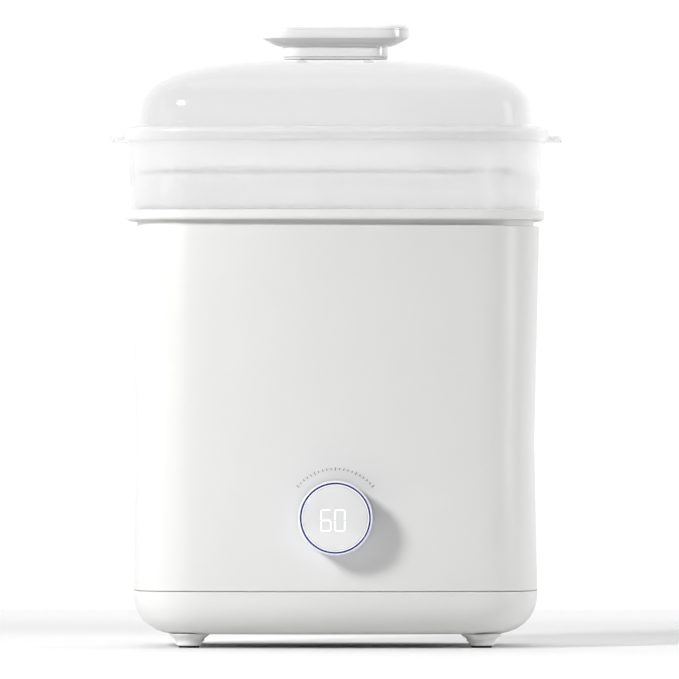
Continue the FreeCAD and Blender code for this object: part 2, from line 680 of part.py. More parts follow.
def filter_pad():
    pad = box(around(0, DOOR_WIDTH - 8), (-9, -9 + FILTER_THICKNESS), around(0, DOOR_HEIGHT - 8))
    return on_back(pad, 0, DOOR_Z)


def power_inlet():
    body = box(around(0, INLET_WIDTH), (-INLET_DEPTH, 0), around(0, INLET_HEIGHT))
    edge = 2 * INLET_BEZEL
    bezel = box(around(0, INLET_WIDTH + edge), (0.4, 2), around(0, INLET_HEIGHT + edge))
    neck = box(around(0, INLET_WIDTH), (0, 0.5), around(0, INLET_HEIGHT))
    bezel = bezel.makeFillet(INLET_BEZEL, [e for e in bezel.Edges if e.BoundBox.YLength > 1])
    lobes = [drum(x, 0, -SOCKET_DEPTH, 3, SOCKET_RADIUS) for x in (-PIN_OFFSET, PIN_OFFSET)]
    middle = box(around(0, 2 * PIN_OFFSET), (-SOCKET_DEPTH, 3), around(0, 2 * SOCKET_RADIUS - 0.6))
    return on_back(cut(fuse([body, neck, bezel]), lobes + [middle]), INLET_X, INLET_Z)


def inlet_pins():
    tip = PIN_LENGTH - SOCKET_DEPTH
    pins = [drum(x, 0, -SOCKET_DEPTH, tip, PIN_RADIUS) for x in (-PIN_OFFSET, PIN_OFFSET)]
    return [on_back(pin, INLET_X, INLET_Z) for pin in pins]


def main_board():
    board = box(around(BOARD_X, BOARD_LENGTH), around(0, BOARD_DEPTH), (BOARD_Z, BOARD_TOP_Z))
    hole = (BOARD_Z - 1, BOARD_TOP_Z + 1, SMALL_HOLE_RADIUS + SLIDE_GAP)
    return cut(board, [post(x, y, *hole) for x, y in board_corners()])


def board_screws():
    screws = []
    for x, y in board_corners():
        head = post(x, y, BOARD_TOP_Z, BOARD_TOP_Z + SMALL_HEAD_HEIGHT, SMALL_HEAD_RADIUS)
        screws.append(head.fuse(post(x, y, BOARD_Z - 7, BOARD_TOP_Z, SMALL_SCREW_RADIUS)))
    return screws


def on_board(x, y, size, lift=0):
    """Box of this size standing on the main board, x and y from the board's middle."""
    z = BOARD_TOP_Z + lift
    return box(around(BOARD_X + x, size[0]), around(y, size[1]), (z, z + size[2]))


def relays():
    return [on_board(x, 24, RELAY_SIZE) for x in (-10, 12)]


def transformer():
    lift = (TRANSFORMER_SIZE[2] - WINDING_SIZE[2]) / 2
    return on_board(-30, -8, TRANSFORMER_SIZE).fuse(on_board(-30, -8, WINDING_SIZE, lift))


def capacitors():
    top = BOARD_TOP_Z + CAPACITOR_HEIGHT
    return [post(BOARD_X + x, -12, BOARD_TOP_Z, top, CAPACITOR_RADIUS) for x in (4, 20)]


def wire_headers():
    return [on_board(x, 34, HEADER_SIZE) for x in (-34, 36)]


def panel_carrier():
    """Fixed hollow stem that the knob turns on, with its flange inside the housing."""
    y = (STEM_ROOT_Y, STEM_ROOT_Y + CARRIER_THICKNESS)
    stem = drum(0, KNOB_Z, KNOB_FRONT_Y + 7, STEM_ROOT_Y, STEM_RADIUS)
    flange = drum(0, KNOB_Z, y[0], y[1], CARRIER_RADIUS)
    lugs = [box(around(x, BRACKET_WIDTH), y, around(KNOB_Z, 12)) for x in carrier_screw_x(-1)]
    carrier = fuse([stem, flange] + lugs)
    screw_holes = [drum(x, KNOB_Z, y[0] - 1, y[1] + 1, SMALL_HOLE_RADIUS) for x in carrier_screw_x()]
    return cut(carrier, [drum(0, KNOB_Z, KNOB_FRONT_Y, y[1] + 1, STEM_BORE)] + screw_holes)


def carrier_screw_x(out=0):
    return (-CARRIER_SCREW_X - out, CARRIER_SCREW_X + out)


def carrier_brackets():
    """Two posts that carry the panel on the floor of the base shell."""
    group = []
    low = BASE_FLOOR_Z + BRACKET_FOOT
    for x in carrier_screw_x():
        y = STEM_ROOT_Y + CARRIER_THICKNESS
        plate = box(around(x, BRACKET_WIDTH), (y, y + BRACKET_THICKNESS), (low, KNOB_Z + 6))
        foot = box(around(x, BRACKET_WIDTH), (y, y + BRACKET_THICKNESS + BRACKET_FOOT), (low, low + 2.5))
        hole = drum(x, KNOB_Z, y - 1, y + BRACKET_THICKNESS + 1, SMALL_SCREW_RADIUS)
        group.append(fuse([plate, foot]).cut(hole))
    return group


def carrier_screws():
    group = []
    tip = STEM_ROOT_Y + CARRIER_THICKNESS + BRACKET_THICKNESS
    for x in carrier_screw_x():
        head = drum(x, KNOB_Z, STEM_ROOT_Y - SMALL_HEAD_HEIGHT, STEM_ROOT_Y, SMALL_HEAD_RADIUS)
        group.append(head.fuse(drum(x, KNOB_Z, STEM_ROOT_Y, tip, SMALL_SCREW_RADIUS)))
    return group


def display_board():
    y = STEM_ROOT_Y + CARRIER_THICKNESS
    return drum(0, KNOB_Z, y, y + BOARD_THICKNESS, DISPLAY_RADIUS)


def tact_switch():
    """Switch body on the board; its button slides into the bore as the screen is pressed."""
    face = STEM_ROOT_Y + CARRIER_THICKNESS
    body = box(around(0, SWITCH_SIZE), (face - SWITCH_BODY, face), around(KNOB_Z, SWITCH_SIZE))
    depth = SWITCH_BUTTON_REACH + SCREEN_TRAVEL + SLIDE_GAP
    front = face - SWITCH_BODY
    return body.cut(drum(0, KNOB_Z, front - 1, front + depth, SWITCH_BUTTON_RADIUS + SLIDE_GAP))


def switch_button():
    """Button that stands proud of the switch and carries the screen's stem."""
    face = STEM_ROOT_Y + CARRIER_THICKNESS
    reach = face - SWITCH_BODY + SWITCH_BUTTON_REACH
    return drum(0, KNOB_Z, face - SWITCH_HEIGHT, reach, SWITCH_BUTTON_RADIUS)


def encoder_base():
    return drum_ring(0, KNOB_Z, ENCODER_Y + 3.5, STEM_ROOT_Y, ENCODER_RADIUS, STEM_RADIUS)


def encoder_rotor():
    bore = STEM_RADIUS + RUNNING_GAP + SLEEVE_WALL
    rotor = drum_ring(0, KNOB_Z, ENCODER_Y, ENCODER_Y + 2.5, ENCODER_RADIUS - 1, bore)
    teeth = []
    for i in range(24):
        notch = drum(0, KNOB_Z + ENCODER_RADIUS - 1, ENCODER_Y - 1, ENCODER_Y + 4, 1.1)
        notch.rotate(Vector(0, 0, KNOB_Z), Vector(0, 1, 0), 15 * i)
        teeth.append(notch)
    return cut(rotor, teeth)


def knob_ring():
    sleeve_in = STEM_RADIUS + RUNNING_GAP
    wall = drum_ring(0, KNOB_Z, KNOB_FRONT_Y + 1.6, KNOB_BACK_Y, KNOB_RADIUS, KNOB_BORE)
    web = drum_ring(0, KNOB_Z, KNOB_BACK_Y - 5, KNOB_BACK_Y - 2, KNOB_BORE + 1, sleeve_in)
    sleeve = drum_ring(0, KNOB_Z, KNOB_BACK_Y - 5, ENCODER_Y + 2.5, sleeve_in + SLEEVE_WALL, sleeve_in)
    return fuse([wall, web, sleeve])


def accent_ring():
    y = KNOB_FRONT_Y
    outer = drum(0, KNOB_Z, y, y + 1.6, KNOB_RADIUS)
    front = [e for e in outer.Edges if e.BoundBox.YMax < y + 0.01]
    return outer.makeFillet(1.2, front).cut(drum(0, KNOB_Z, y - 1, y + 3, KNOB_BORE))


def screen_face_y():
    return KNOB_FRONT_Y + LENS_RECESS


def screen_lens():
    return drum(0, KNOB_Z, screen_face_y(), screen_face_y() + LENS_THICKNESS, KNOB_BORE - TURN_GAP)


def digit_display():
    y = screen_face_y() + LENS_THICKNESS
    return drum(0, KNOB_Z, y, y + DISPLAY_THICKNESS, KNOB_BORE - TURN_GAP - 1.5)


def screen_carrier():
    y = screen_face_y() + LENS_THICKNESS + DISPLAY_THICKNESS
    dish = drum(0, KNOB_Z, y, y + 1.6, KNOB_BORE - TURN_GAP)
    stem = drum(0, KNOB_Z, y, STEM_ROOT_Y + CARRIER_THICKNESS - SWITCH_HEIGHT, STEM_BORE - SLIDE_GAP)
    bore = drum(0, KNOB_Z, y + 3, STEM_ROOT_Y - 5, STEM_BORE - 2)
    return fuse([dish, stem]).cut(bore)


def peg_places():
    xs = [RACK_PITCH_X * (i - 1.5) for i in range(4)]
    return [(x, y) for x in xs for y in (-RACK_PITCH_Y / 2, RACK_PITCH_Y / 2)]


def rack_plate():
    top = RACK_Z + RACK_THICKNESS
    inset = CHAMBER_INSET + LIFT_GAP
    plate = prism(inset, RACK_Z, top)
    rim = ring(inset, inset + 2, top, top + 5)
    legs = [post(x, y, CHAMBER_FLOOR_Z, RACK_Z, 5) for x, y in leg_places()]
    slots = []
    for column in range(-13, 14):
        for row in (-1, 0, 1):
            slots.append(box(around(column * 8, 4), around(row * 56, 44), (RACK_Z - 1, top + 1)))
    spare = [post(x, y, RACK_Z - 1, top + 1, RACK_PEG_RADIUS + 3) for x, y in peg_places()]
    spare += [post(x, y, RACK_Z - 1, top + 1, 7) for x, y in leg_places()]
    spare += [box(around(x, 12), around(0, 40), (RACK_Z - 1, top + 1)) for x in loop_places()]
    grid = plate.cut(cut(Part.makeCompound(slots), spare))
    body = fuse([grid, rim] + legs)
    return cut(body, [post(x, y, top - 1.5, top + 1, 2) for x, y in peg_places()])


def leg_places():
    return [(x, y) for x in (-96, 96) for y in (-30, 30)]


def loop_places():
    return (-108, 108)


def rack_pegs():
    top = RACK_Z + RACK_THICKNESS
    group = []
    for x, y in peg_places():
        cone = Part.makeCone(RACK_PEG_RADIUS, RACK_PEG_RADIUS - 1.5, RACK_PEG_HEIGHT, Vector(x, y, top))
        tip = Part.makeSphere(RACK_PEG_RADIUS - 1.5, Vector(x, y, top + RACK_PEG_HEIGHT))
        group.append(fuse([cone, tip, post(x, y, top - 1.5, top, 2)]))
    return group


def rack_handles():
    """A flat loop at each end, to lift the loaded rack out of the hot chamber."""
    top = RACK_Z + RACK_THICKNESS
    group = []
    for x in loop_places():
        plate = box(around(x, 3), around(0, 34), (top, top + RACK_LOOP_HEIGHT))
        upper = [e for e in plate.Edges if e.BoundBox.XLength > 2.9 and e.BoundBox.ZMin > top + 1]
        plate = plate.makeFillet(12, upper)
        window = box(around(x, 9), around(0, 22), (top + RACK_LOOP_HEIGHT - 22, top + RACK_LOOP_HEIGHT - 6))
        lower = box(around(x, 9), around(0, 22), (top + 8, top + RACK_LOOP_HEIGHT - 30))
        group.append(cut(plate, [window, lower]))
    return group


def tray_tier():
    wall_out = taper([(TIER_FOOT_INSET, TIER_Z), (TIER_TOP_INSET, RIM_Z)])
    wall_in = taper([(TIER_FOOT_INSET + TIER_WALL, TIER_Z), (TIER_TOP_INSET + TIER_WALL, RIM_Z)])
    rim = prism(RIM_INSET, RIM_Z, RIM_TOP_Z)
    rim = rim.makeFillet(2.6, edges_at(rim, RIM_TOP_Z))
    rim = rim.makeFillet(1.0, edges_at(rim, RIM_Z))
    rim = rim.cut(prism(TIER_TOP_INSET + TIER_WALL, RIM_Z, RIM_TOP_Z - TIER_WALL))
    rim = rim.cut(prism(RIM_LIP_INSET, RIM_Z, RIM_TOP_Z))
    skirt = CHAMBER_INSET + LIFT_GAP
    spigot = ring(skirt, skirt + 2, TIER_Z - FLANGE_HEIGHT, TIER_Z + TIER_WALL)
    seat = ring(TIER_FOOT_INSET, skirt + 2, TIER_Z, TIER_Z + TIER_WALL)
    ledge = ring(TIER_TOP_INSET + 1.5, RIM_LIP_INSET + 4, GRID_Z - TIER_WALL, GRID_Z)
    tabs = [grip_tab(side) for side in (-1, 1)]
    return fuse([wall_out.cut(wall_in), rim, spigot, seat, ledge] + tabs)


def grip_tab(side):
    reach = BODY_WIDTH / 2 - RIM_INSET - 1.5
    length = TAB_LENGTH + 1.5 - 2.0
    tab = box((reach, reach + length), around(0, TAB_WIDTH), (RIM_Z, RIM_Z + TAB_THICKNESS))
    tip = [e for e in tab.Edges if e.BoundBox.ZLength > 1 and e.BoundBox.XMin > reach + 1]
    tab = tab.makeFillet(7, tip)
    if side < 0:
        tab.rotate(Vector(0, 0, 0), Vector(0, 0, 1), 180)
    return tab


def tray_grid():
    top = GRID_Z + GRID_THICKNESS
    inset = RIM_LIP_INSET + SEAT_GAP
    plate = prism(inset, GRID_Z, top)
    slots = []
    for column in range(-14, 15):
        for row in (-1, 0, 1):
            slots.append(box(around(column * 8, 4.4), around(row * 58, 48), (GRID_Z - 1, top + 1)))
    border = prism(inset + 9, GRID_Z - 1, top + 1)
    return plate.cut(Part.makeCompound(slots).common(border))


def dome(wall, low_z):
    """Solid of the lid's outside, or of its inside when the wall is taken off: a straight skirt, then a
    shoulder on a superellipse that ends in a small flat top."""
    inset = LID_INSET + wall
    shoulder_z = RIM_TOP_Z + SHOULDER_HEIGHT
    rise = DOME_APEX_Z - shoulder_z
    reach = BODY_WIDTH / 2 - LID_INSET - LID_DRAFT
    top = (DOME_TOP_Z - shoulder_z) / rise
    levels = [outline(inset, low_z), outline(inset + LID_DRAFT, shoulder_z)]
    for step in range(1, DOME_STEPS + 1):
        up = top * math.sin(math.pi / 2 * step / DOME_STEPS)
        run = reach * (1 - (1 - up ** DOME_RISE_POWER) ** (1 / DOME_RUN_POWER))
        z = shoulder_z + rise * up - wall * up / top
        corner = CORNER_RADIUS - inset - LID_DRAFT - DOME_CORNER_SHARE * run
        levels.append(outline(inset + LID_DRAFT + run, z, corner))
    return Part.makeLoft(levels, True, True)


def lid_dome():
    outer = dome(0, RIM_TOP_Z)
    inner = dome(LID_WALL, RIM_TOP_Z)
    skirt_out = RIM_LIP_INSET + LIFT_GAP
    skirt = ring(skirt_out, skirt_out + LID_WALL, RIM_TOP_Z - 6, RIM_TOP_Z + 3)
    shelf = ring(LID_INSET + 1, skirt_out + LID_WALL, RIM_TOP_Z, RIM_TOP_Z + LID_WALL)
    shell = fuse([outer.cut(inner), skirt, shelf])
    inside = DOME_TOP_Z - LID_WALL
    seat = inside + SCREW_HEAD_HEIGHT
    holes = []
    for x in handle_screw_x():
        holes.append(post(x, 0, inside - 1, DOME_TOP_Z + 1, SCREW_RADIUS))
        holes.append(post(x, 0, inside - 1, seat, SCREW_HEAD_RADIUS + SLIDE_GAP))
    return cut(shell, holes)


def handle_screw_x():
    return (-22, 22)


def neck_seal():
    pad = oblong(NECK_LENGTH - 0.8, NECK_DEPTH - 0.8, DOME_TOP_Z, DOME_TOP_Z + NECK_SEAL_THICKNESS)
    return cut(pad, [post(x, 0, DOME_TOP_Z - 1, DOME_TOP_Z + 3, SCREW_RADIUS) for x in handle_screw_x()])


def handle_neck():
    low = DOME_TOP_Z + NECK_SEAL_THICKNESS
    column = oblong(NECK_LENGTH, NECK_DEPTH, low, NECK_TOP_Z)
    return cut(column, [post(x, 0, low - 1, low + 5, SCREW_RADIUS - 0.3) for x in handle_screw_x()])


def handle_grip():
    under = Part.makeLoft([stadium(NECK_LENGTH, NECK_DEPTH, NECK_TOP_Z),
                           stadium(GRIP_LENGTH, GRIP_DEPTH, GRIP_EDGE_Z)], True, True)
    plate = oblong(GRIP_LENGTH, GRIP_DEPTH, GRIP_EDGE_Z, HANDLE_TOP_Z)
    plate = plate.makeFillet(5.5, edges_at(plate, HANDLE_TOP_Z))
    return fuse([under, plate])


def handle_screws():
    screws = []
    inside = DOME_TOP_Z - LID_WALL
    for x in handle_screw_x():
        head = post(x, 0, inside, inside + SCREW_HEAD_HEIGHT, SCREW_HEAD_RADIUS)
        shank = post(x, 0, inside, DOME_TOP_Z + NECK_SEAL_THICKNESS + 4.5, SCREW_RADIUS - 0.3)
        screws.append(fuse([head, shank]))
    return screws


NODES = {
    "base_shell": base_shell, "outer_housing": outer_housing, "housing_screws": housing_screws,
    "feet": feet, "foot_pads": foot_pads,
    "chamber_liner": chamber_liner, "heating_plate": heating_plate, "plate_seal": plate_seal,
    "plate_clamp": plate_clamp, "clamp_screws": clamp_screws, "heating_element": heating_element,
    "thermostat": thermostat, "thermal_fuse": thermal_fuse, "temperature_sensor": temperature_sensor,
    "air_duct": air_duct, "air_heater": air_heater, "air_outlet": air_outlet,
    "blower_housing": blower_housing, "blower_cover": blower_cover, "blower_motor": blower_motor,
    "motor_shaft": motor_shaft, "blower_impeller": blower_impeller,
    "filter_frame": filter_frame, "filter_door": filter_door, "door_pin": door_pin, "filter_pad": filter_pad,
    "power_inlet": power_inlet, "inlet_pins": inlet_pins,
    "main_board": main_board, "board_screws": board_screws, "relays": relays,
    "transformer": transformer, "capacitors": capacitors, "wire_headers": wire_headers,
    "panel_carrier": panel_carrier, "carrier_brackets": carrier_brackets, "carrier_screws": carrier_screws,
    "display_board": display_board, "tact_switch": tact_switch, "switch_button": switch_button,
    "encoder_base": encoder_base, "encoder_rotor": encoder_rotor,
    "knob_ring": knob_ring, "accent_ring": accent_ring,
    "screen_lens": screen_lens, "digit_display": digit_display, "screen_carrier": screen_carrier,
    "rack_plate": rack_plate, "rack_pegs": rack_pegs, "rack_handles": rack_handles,
    "tray_tier": tray_tier, "tray_grid": tray_grid,
    "lid_dome": lid_dome, "neck_seal": neck_seal, "handle_neck": handle_neck,
    "handle_grip": handle_grip, "handle_screws": handle_screws,
}

os.makedirs("parts", exist_ok=True)
for name, build in NODES.items():
    write(name, build())
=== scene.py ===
# %% [markdown]
# # A bottle steriliser, finished in Blender
#
# The machine is a tall white base with a steam chamber in it, a frosted tier that stands on the
# chamber's collar, and a clear domed lid with an oblong handle. The measured frame is loaded first:
# it holds every part at its real size and place, and every mesh below is worked out from it.

# %% Load the frame
import json
import math

import bmesh
import bpy
from mathutils import Matrix, Vector


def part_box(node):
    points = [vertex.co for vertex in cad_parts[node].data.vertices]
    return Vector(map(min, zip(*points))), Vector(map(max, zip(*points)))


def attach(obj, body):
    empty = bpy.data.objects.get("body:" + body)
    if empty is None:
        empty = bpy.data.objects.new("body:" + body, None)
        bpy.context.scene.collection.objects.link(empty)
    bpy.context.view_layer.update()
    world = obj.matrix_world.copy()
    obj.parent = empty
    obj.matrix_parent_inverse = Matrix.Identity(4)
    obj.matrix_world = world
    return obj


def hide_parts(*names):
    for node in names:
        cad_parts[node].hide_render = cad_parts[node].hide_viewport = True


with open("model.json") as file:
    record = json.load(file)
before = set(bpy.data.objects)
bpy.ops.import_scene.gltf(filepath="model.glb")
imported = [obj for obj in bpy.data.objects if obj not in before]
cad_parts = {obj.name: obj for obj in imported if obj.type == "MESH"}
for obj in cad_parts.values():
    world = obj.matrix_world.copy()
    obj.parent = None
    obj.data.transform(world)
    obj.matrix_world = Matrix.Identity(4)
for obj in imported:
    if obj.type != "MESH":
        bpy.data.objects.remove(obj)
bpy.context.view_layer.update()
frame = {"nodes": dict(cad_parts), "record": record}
MM = 0.001


def ends(node, axis):
    """Lowest and highest value of a CAD node along one axis, in millimetres."""
    low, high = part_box(node)
    return low[axis] / MM, high[axis] / MM


# %% [markdown]
# ## Colours and material nodes
#
# Colours are picked as the eye sees them, in sRGB hex, and a shader wants linear light, so one function
# turns them. A second small function adds any node with its settings and its links.

# %% Helpers for materials
def linear(hex_code):
    """sRGB hex such as 'F2F2F0' as a linear RGBA colour."""
    channels = [int(hex_code[i:i + 2], 16) / 255 for i in (0, 2, 4)]
    return [c / 12.92 if c <= 0.04045 else ((c + 0.055) / 1.055) ** 2.4 for c in channels] + [1.0]


def add(tree, kind, settings=None, values=None, links=None):
    """Adds a node: settings are its properties, values its inputs, links other nodes' outputs."""
    node = tree.nodes.new(kind)
    for name, value in (settings or {}).items():
        setattr(node, name, value)
    for name, value in (values or {}).items():
        node.inputs[name].default_value = value
    for name, output in (links or {}).items():
        tree.links.new(output, node.inputs[name])
    return node


def start_material(name, hex_code, roughness, values=None):
    """A Principled material and its tree, with the constants on the shader's own sockets."""
    material = bpy.data.materials.new(name)
    material.use_nodes = True
    shader = material.node_tree.nodes["Principled BSDF"]
    shader.inputs["Base Color"].default_value = linear(hex_code)
    shader.inputs["Roughness"].default_value = roughness
    for socket, value in (values or {}).items():
        shader.inputs[socket].default_value = value
    return material, material.node_tree, shader


def grain(tree, shader, size_mm, strength, height_mm=0.02, roughness=None, stretch=(1, 1, 1)):
    """Fine relief of a moulded or brushed face, its cells size_mm wide; it can also vary the gloss."""
    place = add(tree, "ShaderNodeTexCoord")
    turned = add(tree, "ShaderNodeMapping", values={"Scale": stretch}, links={"Vector": place.outputs["Object"]})
    noise = add(tree, "ShaderNodeTexNoise", values={"Scale": 1 / (size_mm * MM), "Detail": 3.0},
                links={"Vector": turned.outputs["Vector"]})
    bump = add(tree, "ShaderNodeBump", values={"Strength": strength, "Distance": height_mm * MM},
               links={"Height": noise.outputs["Fac"]})
    tree.links.new(bump.outputs["Normal"], shader.inputs["Normal"])
    if roughness:
        spread = add(tree, "ShaderNodeMapRange", values={"To Min": roughness[0], "To Max": roughness[1]},
                     links={"Value": noise.outputs["Fac"]})
        tree.links.new(spread.outputs["Result"], shader.inputs["Roughness"])


def tint(tree, shader, hex_a, hex_b, size_mm):
    """Slow drift between two close colours, as a moulding has from its flow and its handling."""
    place = add(tree, "ShaderNodeTexCoord")
    noise = add(tree, "ShaderNodeTexNoise", values={"Scale": 1 / (size_mm * MM), "Detail": 2.0},
                links={"Vector": place.outputs["Object"]})
    mix = add(tree, "ShaderNodeMix", {"data_type": "RGBA"})
    mix.inputs["A"].default_value = linear(hex_a)
    mix.inputs["B"].default_value = linear(hex_b)
    tree.links.new(noise.outputs["Fac"], mix.inputs["Factor"])
    tree.links.new(mix.outputs["Result"], shader.inputs["Base Color"])


# %% [markdown]
# ## The white shell
#
# The housing is injection-moulded ABS with a fine spark-eroded texture on the tool, which leaves a
# satin skin: highlights are broad and soft. ABS has an IOR of about 1.53. The relief's cells are about
# 0.5 mm wide, a little coarser than the real ones, so that they still show.

# %% Moulded plastics
white_abs, tree, shader = start_material("satin_abs_white", "DADAD9", 0.38, {"IOR": 1.53})
tint(tree, shader, "DCDCDB", "D8D8D7", 60)
grain(tree, shader, 0.5, 0.10, 0.015, (0.34, 0.42))

white_pp, tree, shader = start_material("moulded_pp_white", "E2E2E1", 0.42, {"IOR": 1.49})
tint(tree, shader, "E4E4E3", "DFDFDE", 40)
grain(tree, shader, 0.8, 0.08, 0.015, (0.38, 0.48))

gloss_abs, tree, shader = start_material("polished_abs_white", "F2F2F2", 0.16,
                                         {"IOR": 1.53, "Coat Weight": 0.4, "Coat Roughness": 0.06})
tint(tree, shader, "F3F3F3", "EFEFF0", 50)
grain(tree, shader, 6.0, 0.03, 0.02, (0.13, 0.20))

black_nylon, tree, shader = start_material("glass_filled_nylon_black", "191A1C", 0.55, {"IOR": 1.53})
grain(tree, shader, 0.6, 0.25, 0.03, (0.48, 0.62))

grey_abs, tree, shader = start_material("satin_abs_grey", "8E9196", 0.45, {"IOR": 1.53})
grain(tree, shader, 0.6, 0.12, 0.02, (0.40, 0.50))

lilac_gloss, tree, shader = start_material("polished_abs_lilac_white", "ECECF8", 0.14,
                                           {"IOR": 1.53, "Coat Weight": 0.6, "Coat Roughness": 0.05})
tint(tree, shader, "EEEEFA", "E6E7F6", 20)
grain(tree, shader, 5.0, 0.03, 0.02, (0.12, 0.18))

navy_gloss, tree, shader = start_material("gloss_navy_inlay", "1E2266", 0.18, {"IOR": 1.53, "Coat Weight": 0.5})
tint(tree, shader, "20256C", "1A1D58", 8)
grain(tree, shader, 2.0, 0.04, 0.02, (0.15, 0.24))

print_grey, tree, shader = start_material("pad_printed_grey", "5B5E66", 0.6, {"IOR": 1.5})
tint(tree, shader, "62656D", "55585F", 1.5)
grain(tree, shader, 0.4, 0.15, 0.01, (0.52, 0.68))

screen_glass, tree, shader = start_material("smoked_screen_white", "E3E3E4", 0.12,
                                            {"IOR": 1.49, "Coat Weight": 0.7, "Coat Roughness": 0.03})
tint(tree, shader, "E4E4E5", "E0E0E1", 15)
grain(tree, shader, 4.0, 0.02, 0.01, (0.09, 0.15))

# Painted glow: this lilac-white emission stands in for light on the knob's inner lip, brightening the shade in the
# recess round the screen.
painted_glow_ring, tree, shader = start_material("painted_glow_lilac_white", "F2F2FC", 0.3,
                                        {"Emission Color": (0.9, 0.9, 1, 1), "Emission Strength": 0.25})
grain(tree, shader, 2.0, 0.02, 0.01, (0.26, 0.36))

digit_light, tree, shader = start_material("lit_digit_white", "FFFFFF", 0.4,
                                           {"Emission Color": (1, 1, 1, 1), "Emission Strength": 0.55})
grain(tree, shader, 1.0, 0.02, 0.01, (0.36, 0.44))

# %% [markdown]
# ## Clear and frosted polypropylene
#
# The lid and the tier are thin walls of polypropylene. Real ones bend light very little, because both
# faces of the wall are parallel, so an alpha below 1 tells the truth better than a refracting glass and
# stays clean in a short render. The tier is milkier than the lid and has a softer gloss.

# %% See-through plastics
clear_pp, tree, shader = start_material("clear_pp_lid", "BABABA", 0.10,
                                        {"IOR": 1.50, "Alpha": 0.13, "Coat Weight": 0.4, "Coat Roughness": 0.04})
grain(tree, shader, 9.0, 0.05, 0.05, (0.07, 0.14))

frosted_pp, tree, shader = start_material("frosted_pp_tier", "E9E9E9", 0.30,
                                          {"IOR": 1.50, "Alpha": 0.30, "Coat Weight": 0.3, "Coat Roughness": 0.15,
                                           "Subsurface Weight": 1.0, "Subsurface Radius": (1, 1, 1),
                                           "Subsurface Scale": 0.008})
grain(tree, shader, 0.7, 0.08, 0.015, (0.26, 0.36))

silicone, tree, shader = start_material("silicone_seal_pale", "D6D7D9", 0.5, {"IOR": 1.41})
grain(tree, shader, 0.8, 0.10, 0.02, (0.45, 0.58))

foot_rubber, tree, shader = start_material("moulded_rubber_dark", "232325", 0.7, {"IOR": 1.52})
grain(tree, shader, 0.5, 0.3, 0.03, (0.62, 0.8))

# %% [markdown]
# ## Metals and inner parts
#
# The heating plate is rolled stainless steel, brushed in one direction: its noise is stretched forty
# times along X. Screws and brackets are zinc plated, and the element's sheath has turned brown with heat.

# %% Metals, board and filter
stainless, tree, shader = start_material("brushed_stainless", "C9CACB", 0.28, {"Metallic": 1.0})
grain(tree, shader, 0.8, 0.2, 0.02, (0.22, 0.38), (0.025, 1, 1))

zinc, tree, shader = start_material("zinc_plated_steel", "B9BAB8", 0.35, {"Metallic": 1.0})
grain(tree, shader, 1.5, 0.15, 0.02, (0.28, 0.45))

sheath, tree, shader = start_material("heat_tinted_sheath", "6E655E", 0.45, {"Metallic": 1.0})
tint(tree, shader, "776C60", "5A5450", 12)
grain(tree, shader, 1.0, 0.2, 0.02, (0.38, 0.55))

copper, tree, shader = start_material("copper_and_brass", "C98A4B", 0.3, {"Metallic": 1.0})
grain(tree, shader, 0.8, 0.3, 0.05, (0.22, 0.4), (1, 1, 0.1))

board_green, tree, shader = start_material("solder_mask_green", "14502C", 0.32, {"IOR": 1.5})
tint(tree, shader, "175732", "104325", 5)
grain(tree, shader, 1.2, 0.15, 0.02, (0.26, 0.4))

heater_ceramic, tree, shader = start_material("finned_ceramic_heater", "9A948C", 0.6)
grain(tree, shader, 0.8, 0.3, 0.03, (0.5, 0.7))

filter_felt, tree, shader = start_material("non_woven_filter", "E6E6E2", 0.9, {"Sheen Weight": 0.3})
tint(tree, shader, "EAEAE6", "D6D6D1", 3)
grain(tree, shader, 0.6, 0.7, 0.2)

print(len(bpy.data.materials), "materials")

# %% [markdown]
# ## Rings made of arcs
#
# Housing, collar, tier and lid share one plan: a rounded rectangle whose four sides bow out a little.
# In the editor it could be a bevelled curve. Here each stretch is an arc, and an arc is what Spin makes,
# so a vertex is spun through one arc after the other. The handle's oblong is a ring of just two arcs.

# %% Rings by spinning a vertex
CORNER_RADIUS = 46.0
FRONT_RADIUS = 500.0
SIDE_RADIUS = 600.0
HALF_X = ends("outer_housing", 0)[1]
HALF_Y = (ends("outer_housing", 1)[1] - ends("outer_housing", 1)[0]) / 2
MIDDLE_Y = (ends("lid_dome", 1)[1] + ends("lid_dome", 1)[0]) / 2


def arc_ring(bm, arcs, start, z):
    """Closed ring of arcs (x, y, radius, sweep, steps), one after the other from the start angle."""
    spun = bmesh.new()
    chain = []
    angle = start
    for x, y, radius, sweep, steps in arcs:
        centre = Vector((x, y + MIDDLE_Y, z)) * MM
        arm = Vector((math.cos(angle), math.sin(angle), 0)) * radius * MM
        vert = spun.verts.new(centre + arm)
        made = bmesh.ops.spin(spun, geom=[vert], cent=centre, axis=(0, 0, 1), angle=sweep, steps=steps)
        chain.append((vert, [item for item in made["geom_last"] if isinstance(item, bmesh.types.BMVert)][0]))
        angle += sweep
    for (_, last), (first, _) in zip(chain, chain[1:] + chain[:1]):
        spun.edges.new((last, first))
    bmesh.ops.remove_doubles(spun, verts=spun.verts, dist=2e-6)
    places = around_loop(spun)
    spun.free()
    verts = [bm.verts.new(place) for place in places]
    return [bm.edges.new(pair) for pair in zip(verts, verts[1:] + verts[:1])]


def around_loop(spun):
    """The places of a closed loop's vertices, in order."""
    first = next(iter(spun.verts))
    places = [first.co.copy()]
    edge = first.link_edges[0]
    vert = edge.other_vert(first)
    while vert is not first:
        places.append(vert.co.copy())
        edge = [other for other in vert.link_edges if other is not edge][0]
        vert = edge.other_vert(vert)
    return places


